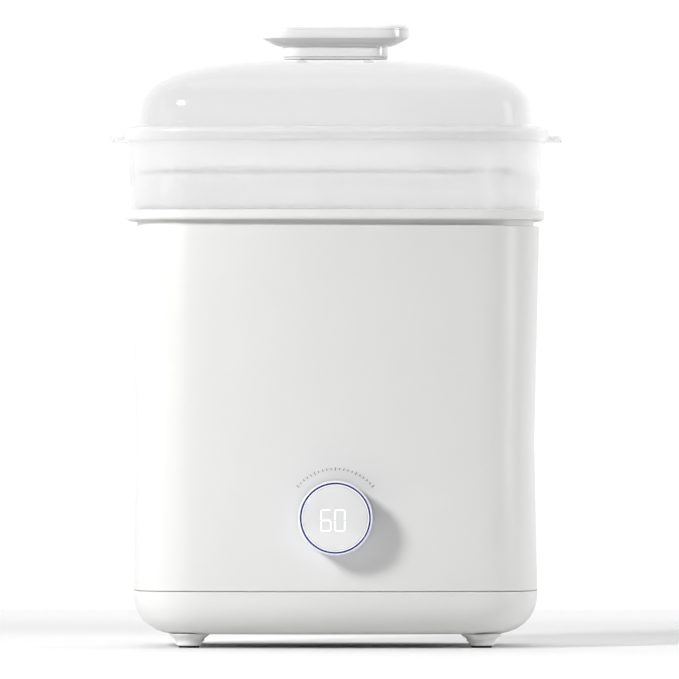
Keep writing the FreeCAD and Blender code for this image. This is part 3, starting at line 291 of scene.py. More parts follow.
def corner_centre(inset, corner):
    """Centre of the corner arc that touches both the front arc and the side arc from inside."""
    front = Vector((0.0, HALF_Y - FRONT_RADIUS))
    side = Vector((HALF_X - SIDE_RADIUS, 0.0))
    front_reach = FRONT_RADIUS - inset - corner
    side_reach = SIDE_RADIUS - inset - corner
    between = side - front
    span = between.length
    along = (front_reach ** 2 - side_reach ** 2 + span ** 2) / (2 * span)
    across = math.sqrt(front_reach ** 2 - along ** 2)
    return front + between / span * along + Vector((between.y, -between.x)) / span * across


def plan_ring(bm, inset, z, corner=None):
    """Adds the plan at this inset and height, in millimetres, and returns its closed ring of edges."""
    corner = CORNER_RADIUS - inset if corner is None else corner
    centre = corner_centre(inset, corner)
    half_side = math.atan2(centre.y, centre.x - HALF_X + SIDE_RADIUS)
    half_front = math.atan2(centre.x, centre.y - HALF_Y + FRONT_RADIUS)
    turn = math.pi / 2 - half_side - half_front
    arcs = []
    for x_sign, y_sign in ((1, 1), (-1, 1), (-1, -1), (1, -1)):
        if x_sign == y_sign:
            arcs.append(((HALF_X - SIDE_RADIUS) * x_sign, 0.0, SIDE_RADIUS - inset, 2 * half_side, 6))
        else:
            arcs.append((0.0, (HALF_Y - FRONT_RADIUS) * y_sign, FRONT_RADIUS - inset, 2 * half_front, 20))
        arcs.append((centre.x * x_sign, centre.y * y_sign, corner, turn, 12))
    return arc_ring(bm, arcs, -half_side, z)


def oblong_ring(bm, length, depth, z):
    """Adds an oblong along X, in millimetres: two half circles and the straights between them."""
    flat = (length - depth) / 2
    return arc_ring(bm, [(flat, 0, depth / 2, math.pi, 24), (-flat, 0, depth / 2, math.pi, 24)], -math.pi / 2, z)


# %% [markdown]
# ## From rings to walls
#
# A wall's section is a short list of corners, each with the radius that its edge is rounded by. Every
# corner becomes an arc of points, every point one ring of the plan, and a band of quads joins each
# ring to the next. A section that closes on itself gives a wall with real thickness and rounded lips.

# %% Helpers for sections and pieces
def rounded(corners, steps=4):
    """Corners (across, up, radius) of a section, each with a radius turned into an arc of points."""
    points = []
    for i, (across, up, radius) in enumerate(corners):
        here = Vector((across, up))
        if not radius:
            points.append(here)
            continue
        back = (Vector(corners[i - 1][:2]) - here).normalized()
        on = (Vector(corners[(i + 1) % len(corners)][:2]) - here).normalized()
        half = back.angle(on) / 2
        centre = here + (back + on).normalized() * (radius / math.sin(half))
        arm = here + back * (radius / math.tan(half)) - centre
        sweep = math.pi - 2 * half
        if arm.x * (here - centre).y - arm.y * (here - centre).x < 0:
            sweep = -sweep
        points += [centre + Matrix.Rotation(sweep * k / steps, 2) @ arm for k in range(steps + 1)]
    return points


def ring_verts(ring):
    """The vertices of a closed ring of edges, in order."""
    return [(set(before.verts) & set(edge.verts)).pop() for before, edge in zip(ring[-1:] + ring[:-1], ring)]


def bridge(bm, rings, closed):
    """Joins each ring to the next by a band of quads, and the last to the first when the section is closed."""
    loops = [ring_verts(ring) for ring in rings]
    for first, second in list(zip(loops, loops[1:])) + ([(loops[-1], loops[0])] if closed else []):
        start = min(range(len(second)), key=lambda i: (second[i].co - first[0].co).length)
        second = second[start:] + second[:start]
        if (second[1].co - first[1].co).length > (second[-1].co - first[1].co).length:
            second = second[:1] + second[:0:-1]
        for i in range(len(first)):
            bm.faces.new((first[i - 1], first[i], second[i], second[i - 1]))


def cap_ends(bm, rings):
    """Closes the first and the last ring, each by one face."""
    for ring in (rings[0], rings[-1]):
        bmesh.ops.contextual_create(bm, geom=ring)


SHARP_DEGREES = 35


def finish_piece(name, bm, material, body, sharp_degrees=SHARP_DEGREES):
    """Turns the bmesh into a piece of the object: faces outwards, soft shading, riding on its body."""
    bmesh.ops.recalc_face_normals(bm, faces=bm.faces)
    mesh = bpy.data.meshes.new(name)
    bm.to_mesh(mesh)
    bm.free()
    mesh.shade_smooth()
    mesh.set_sharp_from_angle(angle=math.radians(sharp_degrees))
    piece = bpy.data.objects.new(name, mesh)
    bpy.context.scene.collection.objects.link(piece)
    mesh.materials.append(material)
    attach(piece, body)
    print(name, len(mesh.polygons), "faces")
    return piece


def plan_shell(bm, corners, closed=True, steps=4):
    """A wall round the plan with this section; returns its rings."""
    rings = [plan_ring(bm, point.x, point.y) for point in rounded(corners, steps)]
    bridge(bm, rings, closed)
    return rings


# %% [markdown]
# ## The housing
#
# A tall tube of 2.6 mm wall that narrows to a waist and opens again below it. The waist shows as a
# faint crease, because the panel under it leans back and takes more light. The knob's stem, the filter
# and the inlet need openings, and Boolean cuts them from plain cutters.

# %% Housing with its openings
SHELL_WALL = 2.6
WAIST_INSET = 3.3
SEAM_INSET = 1.3
WAIST_Z = 134.7
LEDGE_INSET = 7.0
SEAM_GAP = 0.4
seam_z, housing_top = ends("outer_housing", 2)
seam_z += SEAM_GAP


def modified(piece):
    """Replaces a piece's mesh by what its modifiers make of it."""
    bpy.context.view_layer.update()
    made = bpy.data.meshes.new_from_object(piece.evaluated_get(bpy.context.evaluated_depsgraph_get()))
    made.set_sharp_from_angle(angle=math.radians(SHARP_DEGREES))
    piece.modifiers.clear()
    piece.data = made


def cut_with(piece, cutter_bm):
    """Boolean difference of a piece and a cutter, applied at once."""
    mesh = bpy.data.meshes.new("cutter")
    cutter_bm.to_mesh(mesh)
    cutter_bm.free()
    cutter = bpy.data.objects.new("cutter", mesh)
    bpy.context.scene.collection.objects.link(cutter)
    modifier = piece.modifiers.new("cut", "BOOLEAN")
    modifier.object = cutter
    modifier.solver = "FAST"
    modified(piece)
    bpy.data.objects.remove(cutter)


def add_box(bm, centre, size, turn=0.0):
    """Adds a box, in millimetres, turned about its own upright axis."""
    place = Matrix.Translation(Vector(centre) * MM) @ Matrix.Rotation(turn, 4, "Z")
    return bmesh.ops.create_cube(bm, size=1, matrix=place @ Matrix.Diagonal((*(Vector(size) * MM), 1)))


def add_rod(bm, centre, radius, length, axis="Z", segments=48):
    """Adds a cylinder, in millimetres, lying along Z or Y."""
    turn = Matrix.Rotation(math.pi / 2, 4, "X") if axis == "Y" else Matrix.Identity(4)
    bmesh.ops.create_cone(bm, cap_ends=True, segments=segments, radius1=radius * MM, radius2=radius * MM,
                          depth=length * MM, matrix=Matrix.Translation(Vector(centre) * MM) @ turn)


bm = bmesh.new()
plan_shell(bm, [
    (SEAM_INSET, seam_z, 0.5), (WAIST_INSET, WAIST_Z, 30.0), (0.0, housing_top, 0.8),
    (LEDGE_INSET, housing_top, 0.5), (LEDGE_INSET, housing_top - SHELL_WALL, 0.5),
    (SHELL_WALL, housing_top - SHELL_WALL, 1.0), (WAIST_INSET + SHELL_WALL, WAIST_Z, 30.0),
    (SEAM_INSET + SHELL_WALL, seam_z, 0.5),
])
housing = finish_piece("housing_shell", bm, white_abs, "base")

STEM_HOLE_RADIUS = 17.4
FILTER_Z = 84.0
FILTER_HOLE = (68, 18, 60)
HINGE_SLOT = (58, 12, 8)
HINGE_RISE = 32.4
INLET_HOLE = (27.2, 18, 19.2)
inlet_x, inlet_z = -66.0, 62.0
inlet_turn = math.asin(-inlet_x / FRONT_RADIUS)
front_y = MIDDLE_Y - HALF_Y
back_y = MIDDLE_Y + HALF_Y
knob_middle = sum(ends("knob_ring", 2)) / 2

cutter = bmesh.new()
add_rod(cutter, (0, front_y + 4, knob_middle), STEM_HOLE_RADIUS, 18, "Y")
cut_with(housing, cutter)
cutter = bmesh.new()
add_box(cutter, (0, back_y - 2, FILTER_Z), FILTER_HOLE)
add_box(cutter, (inlet_x, back_y - 7, inlet_z), INLET_HOLE, inlet_turn)
cut_with(housing, cutter)
cutter = bmesh.new()
add_box(cutter, (0, back_y, FILTER_Z + HINGE_RISE), HINGE_SLOT)
cut_with(housing, cutter)
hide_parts("outer_housing")

# %% [markdown]
# ## The base tub
#
# Below the seam a shallow tub with a large 25 mm radius closes the machine. The 0.4 mm gap between the
# two shells, with both edges broken, draws the dark line that runs all round.

# %% Tub under the seam
BASE_EDGE = 25.0
base_low = ends("base_shell", 2)[0]
base_seam = seam_z - SEAM_GAP
FLAT_INSET = BASE_EDGE + 9
VENT_PLACES = range(34, 83, 8)
VENT_SIZE = (4, 48, 12)

bm = bmesh.new()
rings = plan_shell(bm, [
    (FLAT_INSET, base_low + SHELL_WALL, 0),
    (SEAM_INSET + SHELL_WALL, base_low + SHELL_WALL, BASE_EDGE - SHELL_WALL),
    (SEAM_INSET + SHELL_WALL, base_seam, 0.5), (SEAM_INSET, base_seam, 0.5),
    (SEAM_INSET, base_low, BASE_EDGE), (FLAT_INSET, base_low, 0),
], closed=False, steps=10)
cap_ends(bm, rings)
base_tub = finish_piece("base_tub", bm, white_abs, "base")
cutter = bmesh.new()
for x in VENT_PLACES:
    add_box(cutter, (x, MIDDLE_Y, base_low), VENT_SIZE)
cut_with(base_tub, cutter)
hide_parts("base_shell")

# %% [markdown]
# ## Screw columns and tongue
#
# Inside, four columns take the screws that come up through the feet, each tied to its corner by a rib,
# and a tongue on the tub lines the two shells up.

# %% Columns, ribs and tongue
FOOT_PLACES = [(x, y) for x in (-96, 96) for y in (-66, 66)]
COLUMN_RADIUS = 5.4
COLUMN_TOP = 56.0
RIB_WIDTH = 2.4

bm = bmesh.new()
for x, y in FOOT_PLACES:
    middle = (base_seam + COLUMN_TOP) / 2
    add_rod(bm, (x, y + MIDDLE_Y, middle), COLUMN_RADIUS, COLUMN_TOP - base_seam)
    turn = math.atan2(math.copysign(1, y), math.copysign(1, x))
    reach = Vector((math.cos(turn), math.sin(turn))) * 13
    add_box(bm, (x + reach.x, y + MIDDLE_Y + reach.y, middle), (22, RIB_WIDTH, COLUMN_TOP - base_seam - 6), turn)
finish_piece("screw_columns", bm, white_abs, "base")

bm = bmesh.new()
plan_shell(bm, [
    (SEAM_INSET + SHELL_WALL + 0.4, base_seam - 8, 0), (SEAM_INSET + SHELL_WALL + 0.4, base_seam + 3, 0.8),
    (SEAM_INSET + 2 * SHELL_WALL, base_seam + 3, 0.8), (SEAM_INSET + 2 * SHELL_WALL, base_seam - 8, 0),
], steps=2)
for x, y in FOOT_PLACES:
    add_rod(bm, (x, y + MIDDLE_Y, (base_low + SHELL_WALL + base_seam) / 2), COLUMN_RADIUS + 1,
            base_seam - base_low - SHELL_WALL)
finish_piece("seam_tongue", bm, white_abs, "base")

# %% [markdown]
# ## The lid
#
# The lid's shoulder is a superellipse: with rise v and run u, both as shares of the whole, it follows
# u^3 + v^2.5 = 1, which is squarer than a circle and never quite flat. It ends in a small flat for the
# handle. The inner face is the same curve one wall further in.

# %% Clear lid
LID_WALL = 2.2
LID_INSET = 2.75
DRAFT = 0.9
RISE_POWER = 2.5
RUN_POWER = 3.0
CORNER_SHARE = 0.3
APEX_Z = 389.3
SKIRT_INSET = 5.8
RIM_TOP_Z = 342.5
SHOULDER_Z = RIM_TOP_Z + 9.0
lid_low, lid_top = ends("lid_dome", 2)


def dome_levels(wall, steps):
    """(inset, height, corner radius) from the shoulder up to the flat, for the outside or the inside."""
    rise = APEX_Z - SHOULDER_Z
    reach = HALF_X - LID_INSET - DRAFT
    top = (lid_top - SHOULDER_Z) / rise
    levels = []
    for step in range(steps + 1):
        up = top * math.sin(math.pi / 2 * step / steps)
        run = reach * (1 - (1 - up ** RISE_POWER) ** (1 / RUN_POWER))
        corner = CORNER_RADIUS - LID_INSET - wall - DRAFT - CORNER_SHARE * run
        levels.append((LID_INSET + wall + DRAFT + run, SHOULDER_Z + rise * up - wall * up / top, corner))
    return levels


bm = bmesh.new()
skirt = rounded([
    (LID_INSET + LID_WALL + DRAFT, SHOULDER_Z, 0), (LID_INSET + LID_WALL, RIM_TOP_Z + LID_WALL + 1, 1.0),
    (SKIRT_INSET + LID_WALL, RIM_TOP_Z + LID_WALL, 0.6), (SKIRT_INSET + LID_WALL, lid_low, 0.6),
    (SKIRT_INSET, lid_low, 0.6), (SKIRT_INSET, RIM_TOP_Z, 0.4), (LID_INSET, RIM_TOP_Z, 0.9),
    (LID_INSET + DRAFT, SHOULDER_Z, 0),
])
sections = [plan_ring(bm, *level) for level in reversed(dome_levels(LID_WALL, 28))]
sections += [plan_ring(bm, point.x, point.y) for point in skirt[1:-1]]
sections += [plan_ring(bm, *level) for level in dome_levels(0, 28)]
bridge(bm, sections, False)
cap_ends(bm, sections)
lid = finish_piece("clear_lid", bm, clear_pp, "lid", 40)
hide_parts("lid_dome")

# %% [markdown]
# ## The frosted tier
#
# One section again: the spigot that drops inside the collar, the seat, the leaning wall, the wide rim
# with its rolled edge, and the ledge inside that carries the grid.

# %% Tier with its rim
TIER_WALL = 2.4
TIER_FOOT = -0.35
TIER_TOP = -2.3
RIM_INSET = -6.3
LIP_INSET = 5.0
SPIGOT_INSET = 10.6
TIER_Z = 287.3
RIM_Z = 333.2
GRID_Z = 313.0
spigot_low = ends("tray_tier", 2)[0]

bm = bmesh.new()
plan_shell(bm, [
    (SPIGOT_INSET + 2, spigot_low, 0.6), (SPIGOT_INSET, spigot_low, 0.6), (SPIGOT_INSET, TIER_Z, 0.5),
    (TIER_FOOT, TIER_Z, 1.2), (TIER_TOP, RIM_Z, 1.2), (RIM_INSET, RIM_Z, 1.0), (RIM_INSET, RIM_TOP_Z - 1.2, 2.4),
    (RIM_INSET + 6, RIM_TOP_Z, 2.0), (LIP_INSET, RIM_TOP_Z, 0.8), (LIP_INSET, RIM_TOP_Z - TIER_WALL, 0.8),
    (TIER_TOP + TIER_WALL, RIM_TOP_Z - TIER_WALL, 1.0), (TIER_TOP + TIER_WALL + 0.8, GRID_Z, 0.8),
    (LIP_INSET + 4, GRID_Z, 0.6), (LIP_INSET + 4, GRID_Z - TIER_WALL, 0.6),
    (TIER_TOP + TIER_WALL + 0.9, GRID_Z - TIER_WALL, 0.8),
    (TIER_FOOT + TIER_WALL, TIER_Z + TIER_WALL, 1.5), (SPIGOT_INSET + 2, TIER_Z + TIER_WALL, 1.0),
], steps=3)
tier = finish_piece("frosted_tier", bm, frosted_pp, "tier")
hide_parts("tray_tier")

# %% [markdown]
# ## The tier's side tabs
#
# Each tab is a cube with its outer upright edges bevelled round, then all its edges broken.

# %% Side tabs
TAB_WIDTH = 44.0
TAB_THICKNESS = 3.8
TAB_TIP_RADIUS = 7.0
TAB_EDGE = 0.7
tab_reach = ends("tray_tier", 0)[1]

bm = bmesh.new()
for side in (-1, 1):
    root = HALF_X - RIM_INSET - 1.5
    size = Vector((tab_reach - root, TAB_WIDTH, TAB_THICKNESS)) * MM
    middle = Vector((side * (root + tab_reach) / 2, MIDDLE_Y, RIM_Z + TAB_THICKNESS / 2)) * MM
    made = bmesh.ops.create_cube(bm, size=1, matrix=Matrix.Translation(middle) @ Matrix.Diagonal((*size, 1)))
    edges = {edge for vert in made["verts"] for edge in vert.link_edges}
    tips = [edge for edge in edges if abs(edge.verts[0].co.z - edge.verts[1].co.z) > 1e-4
            and edge.verts[0].co.x * side > root * MM * 1.001]
    bmesh.ops.bevel(bm, geom=tips, offset=TAB_TIP_RADIUS * MM, affect="EDGES", segments=8, profile=0.5, material=-1)
    rims = [edge for edge in bm.edges if edge.is_valid and len(edge.link_faces) == 2
            and edge.calc_face_angle() > 1.2 and edge.verts[0].co.x * side > 0]
    bmesh.ops.bevel(bm, geom=rims, offset=TAB_EDGE * MM, affect="EDGES", segments=3, profile=0.5, material=-1)
finish_piece("tier_tabs", bm, frosted_pp, "tier")

# %% [markdown]
# ## Handle
#
# The handle is a loft of oblongs. A neck rises from the lid, flares into the grip's underside, and the
# grip ends in a cap with an elliptical shoulder and a slightly domed top. A groove marks where the cap
# meets the body.

# %% Handle grip and neck
GRIP = (97.8, 44.0)
NECK = (69.8, 26.0)
neck_low, neck_high = ends("handle_neck", 2)
grip_top = ends("handle_grip", 2)[1]
CREASE_Z = grip_top - 5.3
WIDEST_Z = CREASE_Z - 1.8
FLARE_RISE = 5.6
FLARE_SHARE = 0.94
FLARE_STEPS = 10
TURN_STEPS = 8
CAP_STEPS = 12
CAP_WIDTH = 8.4
CAP_RISE = 4.4
TOP_INSETS = (10, 13, 16, 19, 21.5)


def grip_ring(bm, out, z, inset=0.0):
    """Oblong between the neck's (out 0) and the grip's (out 1), then moved in by an inset."""
    size = [neck + (grip - neck) * out - 2 * inset for neck, grip in zip(NECK, GRIP)]
    return oblong_ring(bm, *size, z)


bm = bmesh.new()
rings = [grip_ring(bm, 0, neck_high, 0.5), grip_ring(bm, 0, neck_high)]
for step in range(1, FLARE_STEPS + 1):
    share = step / FLARE_STEPS
    rings.append(grip_ring(bm, FLARE_SHARE * share, neck_high + FLARE_RISE * share ** 1.5))
flare_top = neck_high + FLARE_RISE
for step in range(1, TURN_STEPS + 1):
    angle = math.pi / 2 * step / TURN_STEPS
    out = FLARE_SHARE + (1 - FLARE_SHARE) * math.sin(angle)
    rings.append(grip_ring(bm, out, flare_top + (WIDEST_Z - flare_top) * (1 - math.cos(angle))))
for rise, inset in ((-0.5, 0), (-0.15, 0.08), (0, 0.4), (0.15, 0.08)):
    rings.append(grip_ring(bm, 1, CREASE_Z + rise, inset))
cap_low = CREASE_Z + 0.3
for step in range(CAP_STEPS + 1):
    angle = math.pi / 2 * step / CAP_STEPS
    rings.append(grip_ring(bm, 1, cap_low + CAP_RISE * math.sin(angle), CAP_WIDTH * (1 - math.cos(angle))))
for inset in TOP_INSETS:
    share = (inset - CAP_WIDTH) / (TOP_INSETS[-1] - CAP_WIDTH)
    rise = (grip_top - cap_low - CAP_RISE) * (1 - (1 - share) ** 2)
    rings.append(grip_ring(bm, 1, cap_low + CAP_RISE + rise, inset))
bridge(bm, rings, False)
cap_ends(bm, rings)
grip = finish_piece("grip", bm, gloss_abs, "lid", 50)
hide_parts("handle_grip")

bm = bmesh.new()
rings = [grip_ring(bm, 0, z, inset) for z, inset in (
    (neck_low, 1.1), (neck_low + 0.1, 0.5), (neck_low + 0.35, 0.12), (neck_low + 0.8, 0),
    (neck_high - 1, 0), (neck_high, 0),
)]
bridge(bm, rings, False)
cap_ends(bm, rings)
neck = finish_piece("grip_neck", bm, gloss_abs, "lid", 50)
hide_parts("handle_neck")

# %% [markdown]
# ## The knob
#
# Knob, navy ring and feet are turned shapes: a closed profile, given as (radius, along) corners with
# their radii, spun a full turn with its two ends merged. A solid disc's profile stops a hair short of
# the axis. Between the navy ring and the screen lies a thin lip with a painted glow: its emission
# brightens the shade that falls in the recess round the screen.

# %% Turned pieces
def lathe(bm, corners, centre, axis, steps=96):
    """Spins a closed section of (radius, along, rounding) corners, in millimetres, once round an axis."""
    up = axis == "Z"
    verts = []
    for point in rounded(corners):
        offset = Vector((point.x, 0, point.y)) if up else Vector((point.x, point.y, 0))
        verts.append(bm.verts.new((Vector(centre) + offset) * MM))
    edges = [bm.edges.new(pair) for pair in zip(verts, verts[1:] + verts[:1])]
    bmesh.ops.spin(bm, geom=verts + edges, cent=Vector(centre) * MM, axis=(0, 0, 1) if up else (0, 1, 0),
                   angle=2 * math.pi, steps=steps, use_merge=True)


KNOB_BORE = 21.6
LIP_BORE = 21.3
BAND_WIDTH = 1.15
INLAY_WIDTH = 1.1
INLAY_DEPTH = 1.5
LENS_RADIUS = 21.1
LENS_THICKNESS = 2.0
BARREL_LENGTH = 17.0
SPINDLE = 0.02
knob_radius = ends("knob_ring", 0)[1]
knob_front = ends("accent_ring", 1)[0]
knob_rear = knob_front + BARREL_LENGTH
lens_front = ends("screen_lens", 1)[0]
knob_centre = (0, 0, knob_middle)

bm = bmesh.new()
inlay_out = knob_radius - BAND_WIDTH
inlay_in = inlay_out - INLAY_WIDTH
lathe(bm, [
    (knob_radius, knob_front, 1.0), (inlay_out, knob_front, 0.1), (inlay_out, knob_front + INLAY_DEPTH, 0),
    (KNOB_BORE + 0.02, knob_front + INLAY_DEPTH, 0), (KNOB_BORE + 0.02, knob_rear, 0.4),
    (knob_radius, knob_rear, 0.6),
], knob_centre, "Y")
knob = finish_piece("knob_barrel", bm, lilac_gloss, "knob")
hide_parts("knob_ring")

bm = bmesh.new()
lathe(bm, [(inlay_out, knob_front + 0.12, 0.15), (inlay_in, knob_front + 0.12, 0.15),
           (inlay_in, knob_front + INLAY_DEPTH, 0), (inlay_out, knob_front + INLAY_DEPTH, 0)], knob_centre, "Y")
inlay = finish_piece("navy_inlay", bm, navy_gloss, "knob")
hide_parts("accent_ring")

bm = bmesh.new()
lathe(bm, [(inlay_in, knob_front + 0.3, 0.1), (LIP_BORE, knob_front + 0.3, 0.1),
           (LIP_BORE, knob_front + INLAY_DEPTH, 0), (inlay_in, knob_front + INLAY_DEPTH, 0)], knob_centre, "Y")
# The inner lip carries the painted glow, which brightens the shaded recess between the navy ring and the screen.
finish_piece("knob_inner_lip", bm, painted_glow_ring, "knob")

# %% [markdown]
# ## The screen and its digits
#
# The lens is a turned disc. The two digits are seven-segment ones: every segment is a thin hexagon,
# made as a six-sided face, stretched and extruded, with the gaps that such displays have.

# %% Lens and digits
bm = bmesh.new()
lens_back = lens_front + LENS_THICKNESS
lathe(bm, [(LENS_RADIUS, lens_front, 0.4), (SPINDLE, lens_front, 0), (SPINDLE, lens_back, 0),
           (LENS_RADIUS, lens_back, 0.2)], knob_centre, "Y")
lens = finish_piece("screen_disc", bm, screen_glass, "screen")
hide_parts("screen_lens")

DIGIT_WIDTH = 6.9
DIGIT_HEIGHT = 14.2
DIGIT_PITCH = 9.2
STROKE = 0.64
GAP = 0.5
DIGIT_DEPTH = 0.06
DIGITS_X = -1.6
DIGITS_DROP = 1.5
SEGMENTS = {
    "top": (0, 1, "across"), "middle": (0, 0, "across"), "bottom": (0, -1, "across"),
    "upper left": (-1, 0.5, "up"), "upper right": (1, 0.5, "up"),
    "lower left": (-1, -0.5, "up"), "lower right": (1, -0.5, "up"),
}
LIT = {
    "6": ("top", "middle", "bottom", "upper left", "lower left", "lower right"),
    "0": ("top", "bottom", "upper left", "upper right", "lower left", "lower right"),
}


def segment(bm, x, z, length, across):
    """One thin hexagonal bar on the screen's face, centred at (x, z) in millimetres."""
    half = length / 2
    tip = STROKE / 2
    outline = [(-half, 0), (tip - half, tip), (half - tip, tip), (half, 0), (half - tip, -tip), (tip - half, -tip)]
    if not across:
        outline = [(v, u) for u, v in outline]
    verts = [bm.verts.new(((x + u) * MM, lens_front * MM, (z + v) * MM)) for u, v in outline]
    face = bm.faces.new(verts)
    made = bmesh.ops.extrude_face_region(bm, geom=[face])
    raised = [item for item in made["geom"] if isinstance(item, bmesh.types.BMVert)]
    bmesh.ops.translate(bm, verts=raised, vec=(0, -DIGIT_DEPTH * MM, 0))


bm = bmesh.new()
digit_z = knob_centre[2] - DIGITS_DROP
for index, digit in enumerate("60"):
    digit_x = DIGITS_X + (index - 0.5) * DIGIT_PITCH
    half_width = (DIGIT_WIDTH - STROKE) / 2
    half_height = (DIGIT_HEIGHT - STROKE) / 2
    for name in LIT[digit]:
        x_share, z_share, way = SEGMENTS[name]
        length = (2 * half_width if way == "across" else half_height) - GAP
        segment(bm, digit_x + x_share * half_width, digit_z + z_share * half_height, length, way == "across")
finish_piece("screen_digits", bm, digit_light, "screen")

# %% [markdown]
# ## Printed marks
#
# Over the knob runs a row of plain grey ticks on an arc of 32 mm. Each lies on the curved panel: the
# panel's depth at a height and a distance from the middle follows from the plan's front arc.

# %% Tick marks on the panel
def panel_y(x, z):
    """The housing's front face at this place under the waist, in millimetres."""
    share = (z - seam_z) / (WAIST_Z - seam_z)
    inset = SEAM_INSET + (WAIST_INSET - SEAM_INSET) * share
    reach = FRONT_RADIUS - inset
    return MIDDLE_Y - HALF_Y + FRONT_RADIUS - math.sqrt(reach ** 2 - x ** 2)


MARK_RADIUS = 32.0
MARK_HEIGHT = 2.2
SHORT_MARK = 0.6
MARK_WIDTH = 0.45
MARK_THICKNESS = 0.3
MARK_RELIEF = 0.05
bm = bmesh.new()
for degrees in range(-50, 51, 5):
    angle = math.radians(degrees)
    x = MARK_RADIUS * math.sin(angle)
    z = knob_centre[2] + MARK_RADIUS * math.cos(angle)
    tall = MARK_HEIGHT if degrees % 25 == 0 else MARK_HEIGHT * SHORT_MARK
    size = Vector((MARK_WIDTH, MARK_THICKNESS, tall)) * MM
    place = Matrix.Translation(Vector((x, panel_y(x, z) - MARK_RELIEF / 2, z)) * MM)
    turn = Matrix.Rotation(angle, 4, "Y")
    bmesh.ops.create_cube(bm, size=1, matrix=place @ turn @ Matrix.Diagonal((*size, 1)))
finish_piece("printed_ticks", bm, print_grey, "base")

# %% [markdown]
# ## Feet
#
# The feet are turned: a leg that flares into the base tub, and a rubber pad in its end.

# %% Feet and pads
FOOT_TOP = 9.0
FOOT_RADIUS = 8.5
FLARE_RADIUS = 14.0
POCKET_RADIUS = 7.0
POCKET_TOP = 4.0
PAD_RADIUS = 6.9
PAD_TOP = 3.0
bm = bmesh.new()
for x, y in FOOT_PLACES:
    lathe(bm, [(POCKET_RADIUS, 1.5, 0.2), (FOOT_RADIUS, 1.5, 0.5), (FOOT_RADIUS, 5.0, 4.0),
               (FLARE_RADIUS, FOOT_TOP, 0.4), (5.0, FOOT_TOP + 1, 0), (5.0, POCKET_TOP, 0),
               (POCKET_RADIUS, POCKET_TOP, 0)], (x, y + MIDDLE_Y, 0), "Z", 48)
feet = finish_piece("turned_feet", bm, white_abs, "base")
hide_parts("feet")

bm = bmesh.new()
for x, y in FOOT_PLACES:
    lathe(bm, [(PAD_RADIUS, 0.0, 0.8), (SPINDLE, 0.0, 0), (SPINDLE, PAD_TOP, 0), (PAD_RADIUS, PAD_TOP, 0)],
          (x, y + MIDDLE_Y, 0), "Z", 48)
pads = finish_piece("rubber_pads", bm, foot_rubber, "base")
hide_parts("foot_pads")

# %% [markdown]
# ## The floor and the room
#
# A white object on white needs something dark to stand out against. So only the half of the room that
# lies behind it is white, and the half behind the camera is nearly black. The floor is a pale sheet
# that glows towards its far edge, where it has to melt into the backdrop.

# %% Floor and world
ROOM_LEVEL = 0.08
BACKDROP_LEVEL = 1.06
FLOOR_HALF = 1.1
FLOOR_Y = 0.15
FLOOR_GLOW = 0.25
bm = bmesh.new()
bmesh.ops.create_grid(bm, x_segments=1, y_segments=1, size=FLOOR_HALF, matrix=Matrix.Translation((0, FLOOR_Y, 0)))
floor_mesh = bpy.data.meshes.new("floor")
bm.to_mesh(floor_mesh)
bm.free()
floor = bpy.data.objects.new("floor", floor_mesh)
bpy.context.scene.collection.objects.link(floor)
floor_paper, tree, shader = start_material("pale_paper_sweep", "EDEDED", 0.7, {"Emission Color": (1, 1, 1, 1)})
grain(tree, shader, 3.0, 0.05, 0.05)
place = add(tree, "ShaderNodeTexCoord")
split = add(tree, "ShaderNodeSeparateXYZ", links={"Vector": place.outputs["Object"]})
glow = add(tree, "ShaderNodeMapRange", {"interpolation_type": "SMOOTHSTEP"},
           {"From Min": 0.45, "From Max": 1.2, "To Min": 0.0, "To Max": FLOOR_GLOW}, {"Value": split.outputs["Y"]})
tree.links.new(glow.outputs["Result"], shader.inputs["Emission Strength"])
floor.data.materials.append(floor_paper)

world = bpy.data.worlds.new("studio")
world.use_nodes = True
tree = world.node_tree
way = add(tree, "ShaderNodeTexCoord")
split = add(tree, "ShaderNodeSeparateXYZ", links={"Vector": way.outputs["Generated"]})
behind = add(tree, "ShaderNodeMapRange", {"interpolation_type": "SMOOTHSTEP"},
             {"From Min": 0.05, "From Max": 0.45, "To Min": ROOM_LEVEL, "To Max": BACKDROP_LEVEL},
             {"Value": split.outputs["Y"]})
tree.links.new(behind.outputs["Result"], tree.nodes["Background"].inputs["Strength"])
tree.nodes["Background"].inputs["Color"].default_value = (1, 1, 1, 1)
bpy.context.scene.world = world


# %% [markdown]
# ## Soft boxes and camera
#
# The key stands high on the left and gives the knob its shadow. Two upright strips stand almost level
# with the object's sides, so they shine in its rounded corners and hardly reach its front. The camera
# is far away and has a long lens, which keeps the horizontal edges nearly straight.

# %% Lights and camera
SENSOR_WIDTH = 36
MIDDLE_HEIGHT = 0.2


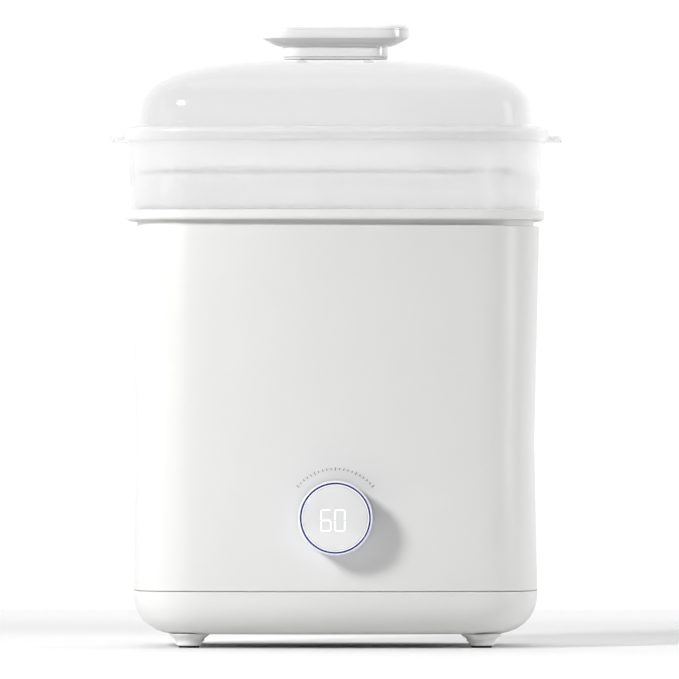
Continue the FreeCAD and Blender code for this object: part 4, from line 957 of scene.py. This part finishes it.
def soft_light(name, place, size, watts):
    """A soft box aimed at the middle of the object."""
    data = bpy.data.lights.new(name, "AREA")
    data.shape = "RECTANGLE"
    data.size, data.size_y = size
    data.energy = watts
    lamp = bpy.data.objects.new(name, data)
    bpy.context.scene.collection.objects.link(lamp)
    lamp.location = place
    lamp.rotation_euler = (Vector((0, 0, MIDDLE_HEIGHT)) - Vector(place)).to_track_quat("-Z", "Y").to_euler()


soft_light("key_left_front", (-1.55, -1.55, 1.25), (0.5, 0.5), 52)
soft_light("strip_left", (-1.85, -0.3, 0.6), (0.4, 1.3), 3.5)
soft_light("strip_right", (1.85, -0.35, 0.6), (0.5, 1.3), 17)
soft_light("overhead", (0.0, 0.1, 2.3), (1.4, 1.2), 11)

EYE = Vector((0.0027, -8.1, 0.176))
AIM = Vector((0.0027, 0.0, 0.2026))
FIELD = 0.4493
data = bpy.data.cameras.new("camera")
data.sensor_width = SENSOR_WIDTH
data.lens = SENSOR_WIDTH * (AIM - EYE).length / FIELD
camera = bpy.data.objects.new("camera", data)
bpy.context.scene.collection.objects.link(camera)
camera.location = EYE
camera.rotation_euler = (AIM - EYE).to_track_quat("-Z", "Y").to_euler()
bpy.context.scene.camera = camera
bpy.context.scene.view_settings.view_transform = "Standard"
bpy.context.scene.cycles.transparent_max_bounces = 24

# %% [markdown]
# ## Finishes of the measured parts
#
# Every part that keeps its measured shape gets the material that its record's slot stands for. The
# tier's grid is clear like the lid. Clear walls lie many deep here, hence the higher bounce limit above.

# %% Finishes by slot
FINISHES = {
    "white_abs": white_abs, "white_pp": white_pp, "frosted_pp": frosted_pp, "clear_lid": clear_pp,
    "handle_white": gloss_abs, "silicone_grey": silicone, "foot_rubber": foot_rubber, "stainless": stainless,
    "sheathed_steel": sheath, "zinc_steel": zinc, "black_nylon": black_nylon, "grey_abs": grey_abs,
    "green_board": board_green, "ceramic_heater": heater_ceramic, "knob_lilac": lilac_gloss,
    "knob_navy": navy_gloss, "screen_face": screen_glass, "filter_foam": filter_felt, "copper": copper,
}
for part in frame["record"]["subparts"]:
    node = frame["nodes"][part["node"]]
    node.data.materials.clear()
    node.data.materials.append(clear_pp if part["node"] == "tray_grid" else FINISHES[part["material_slot"]])
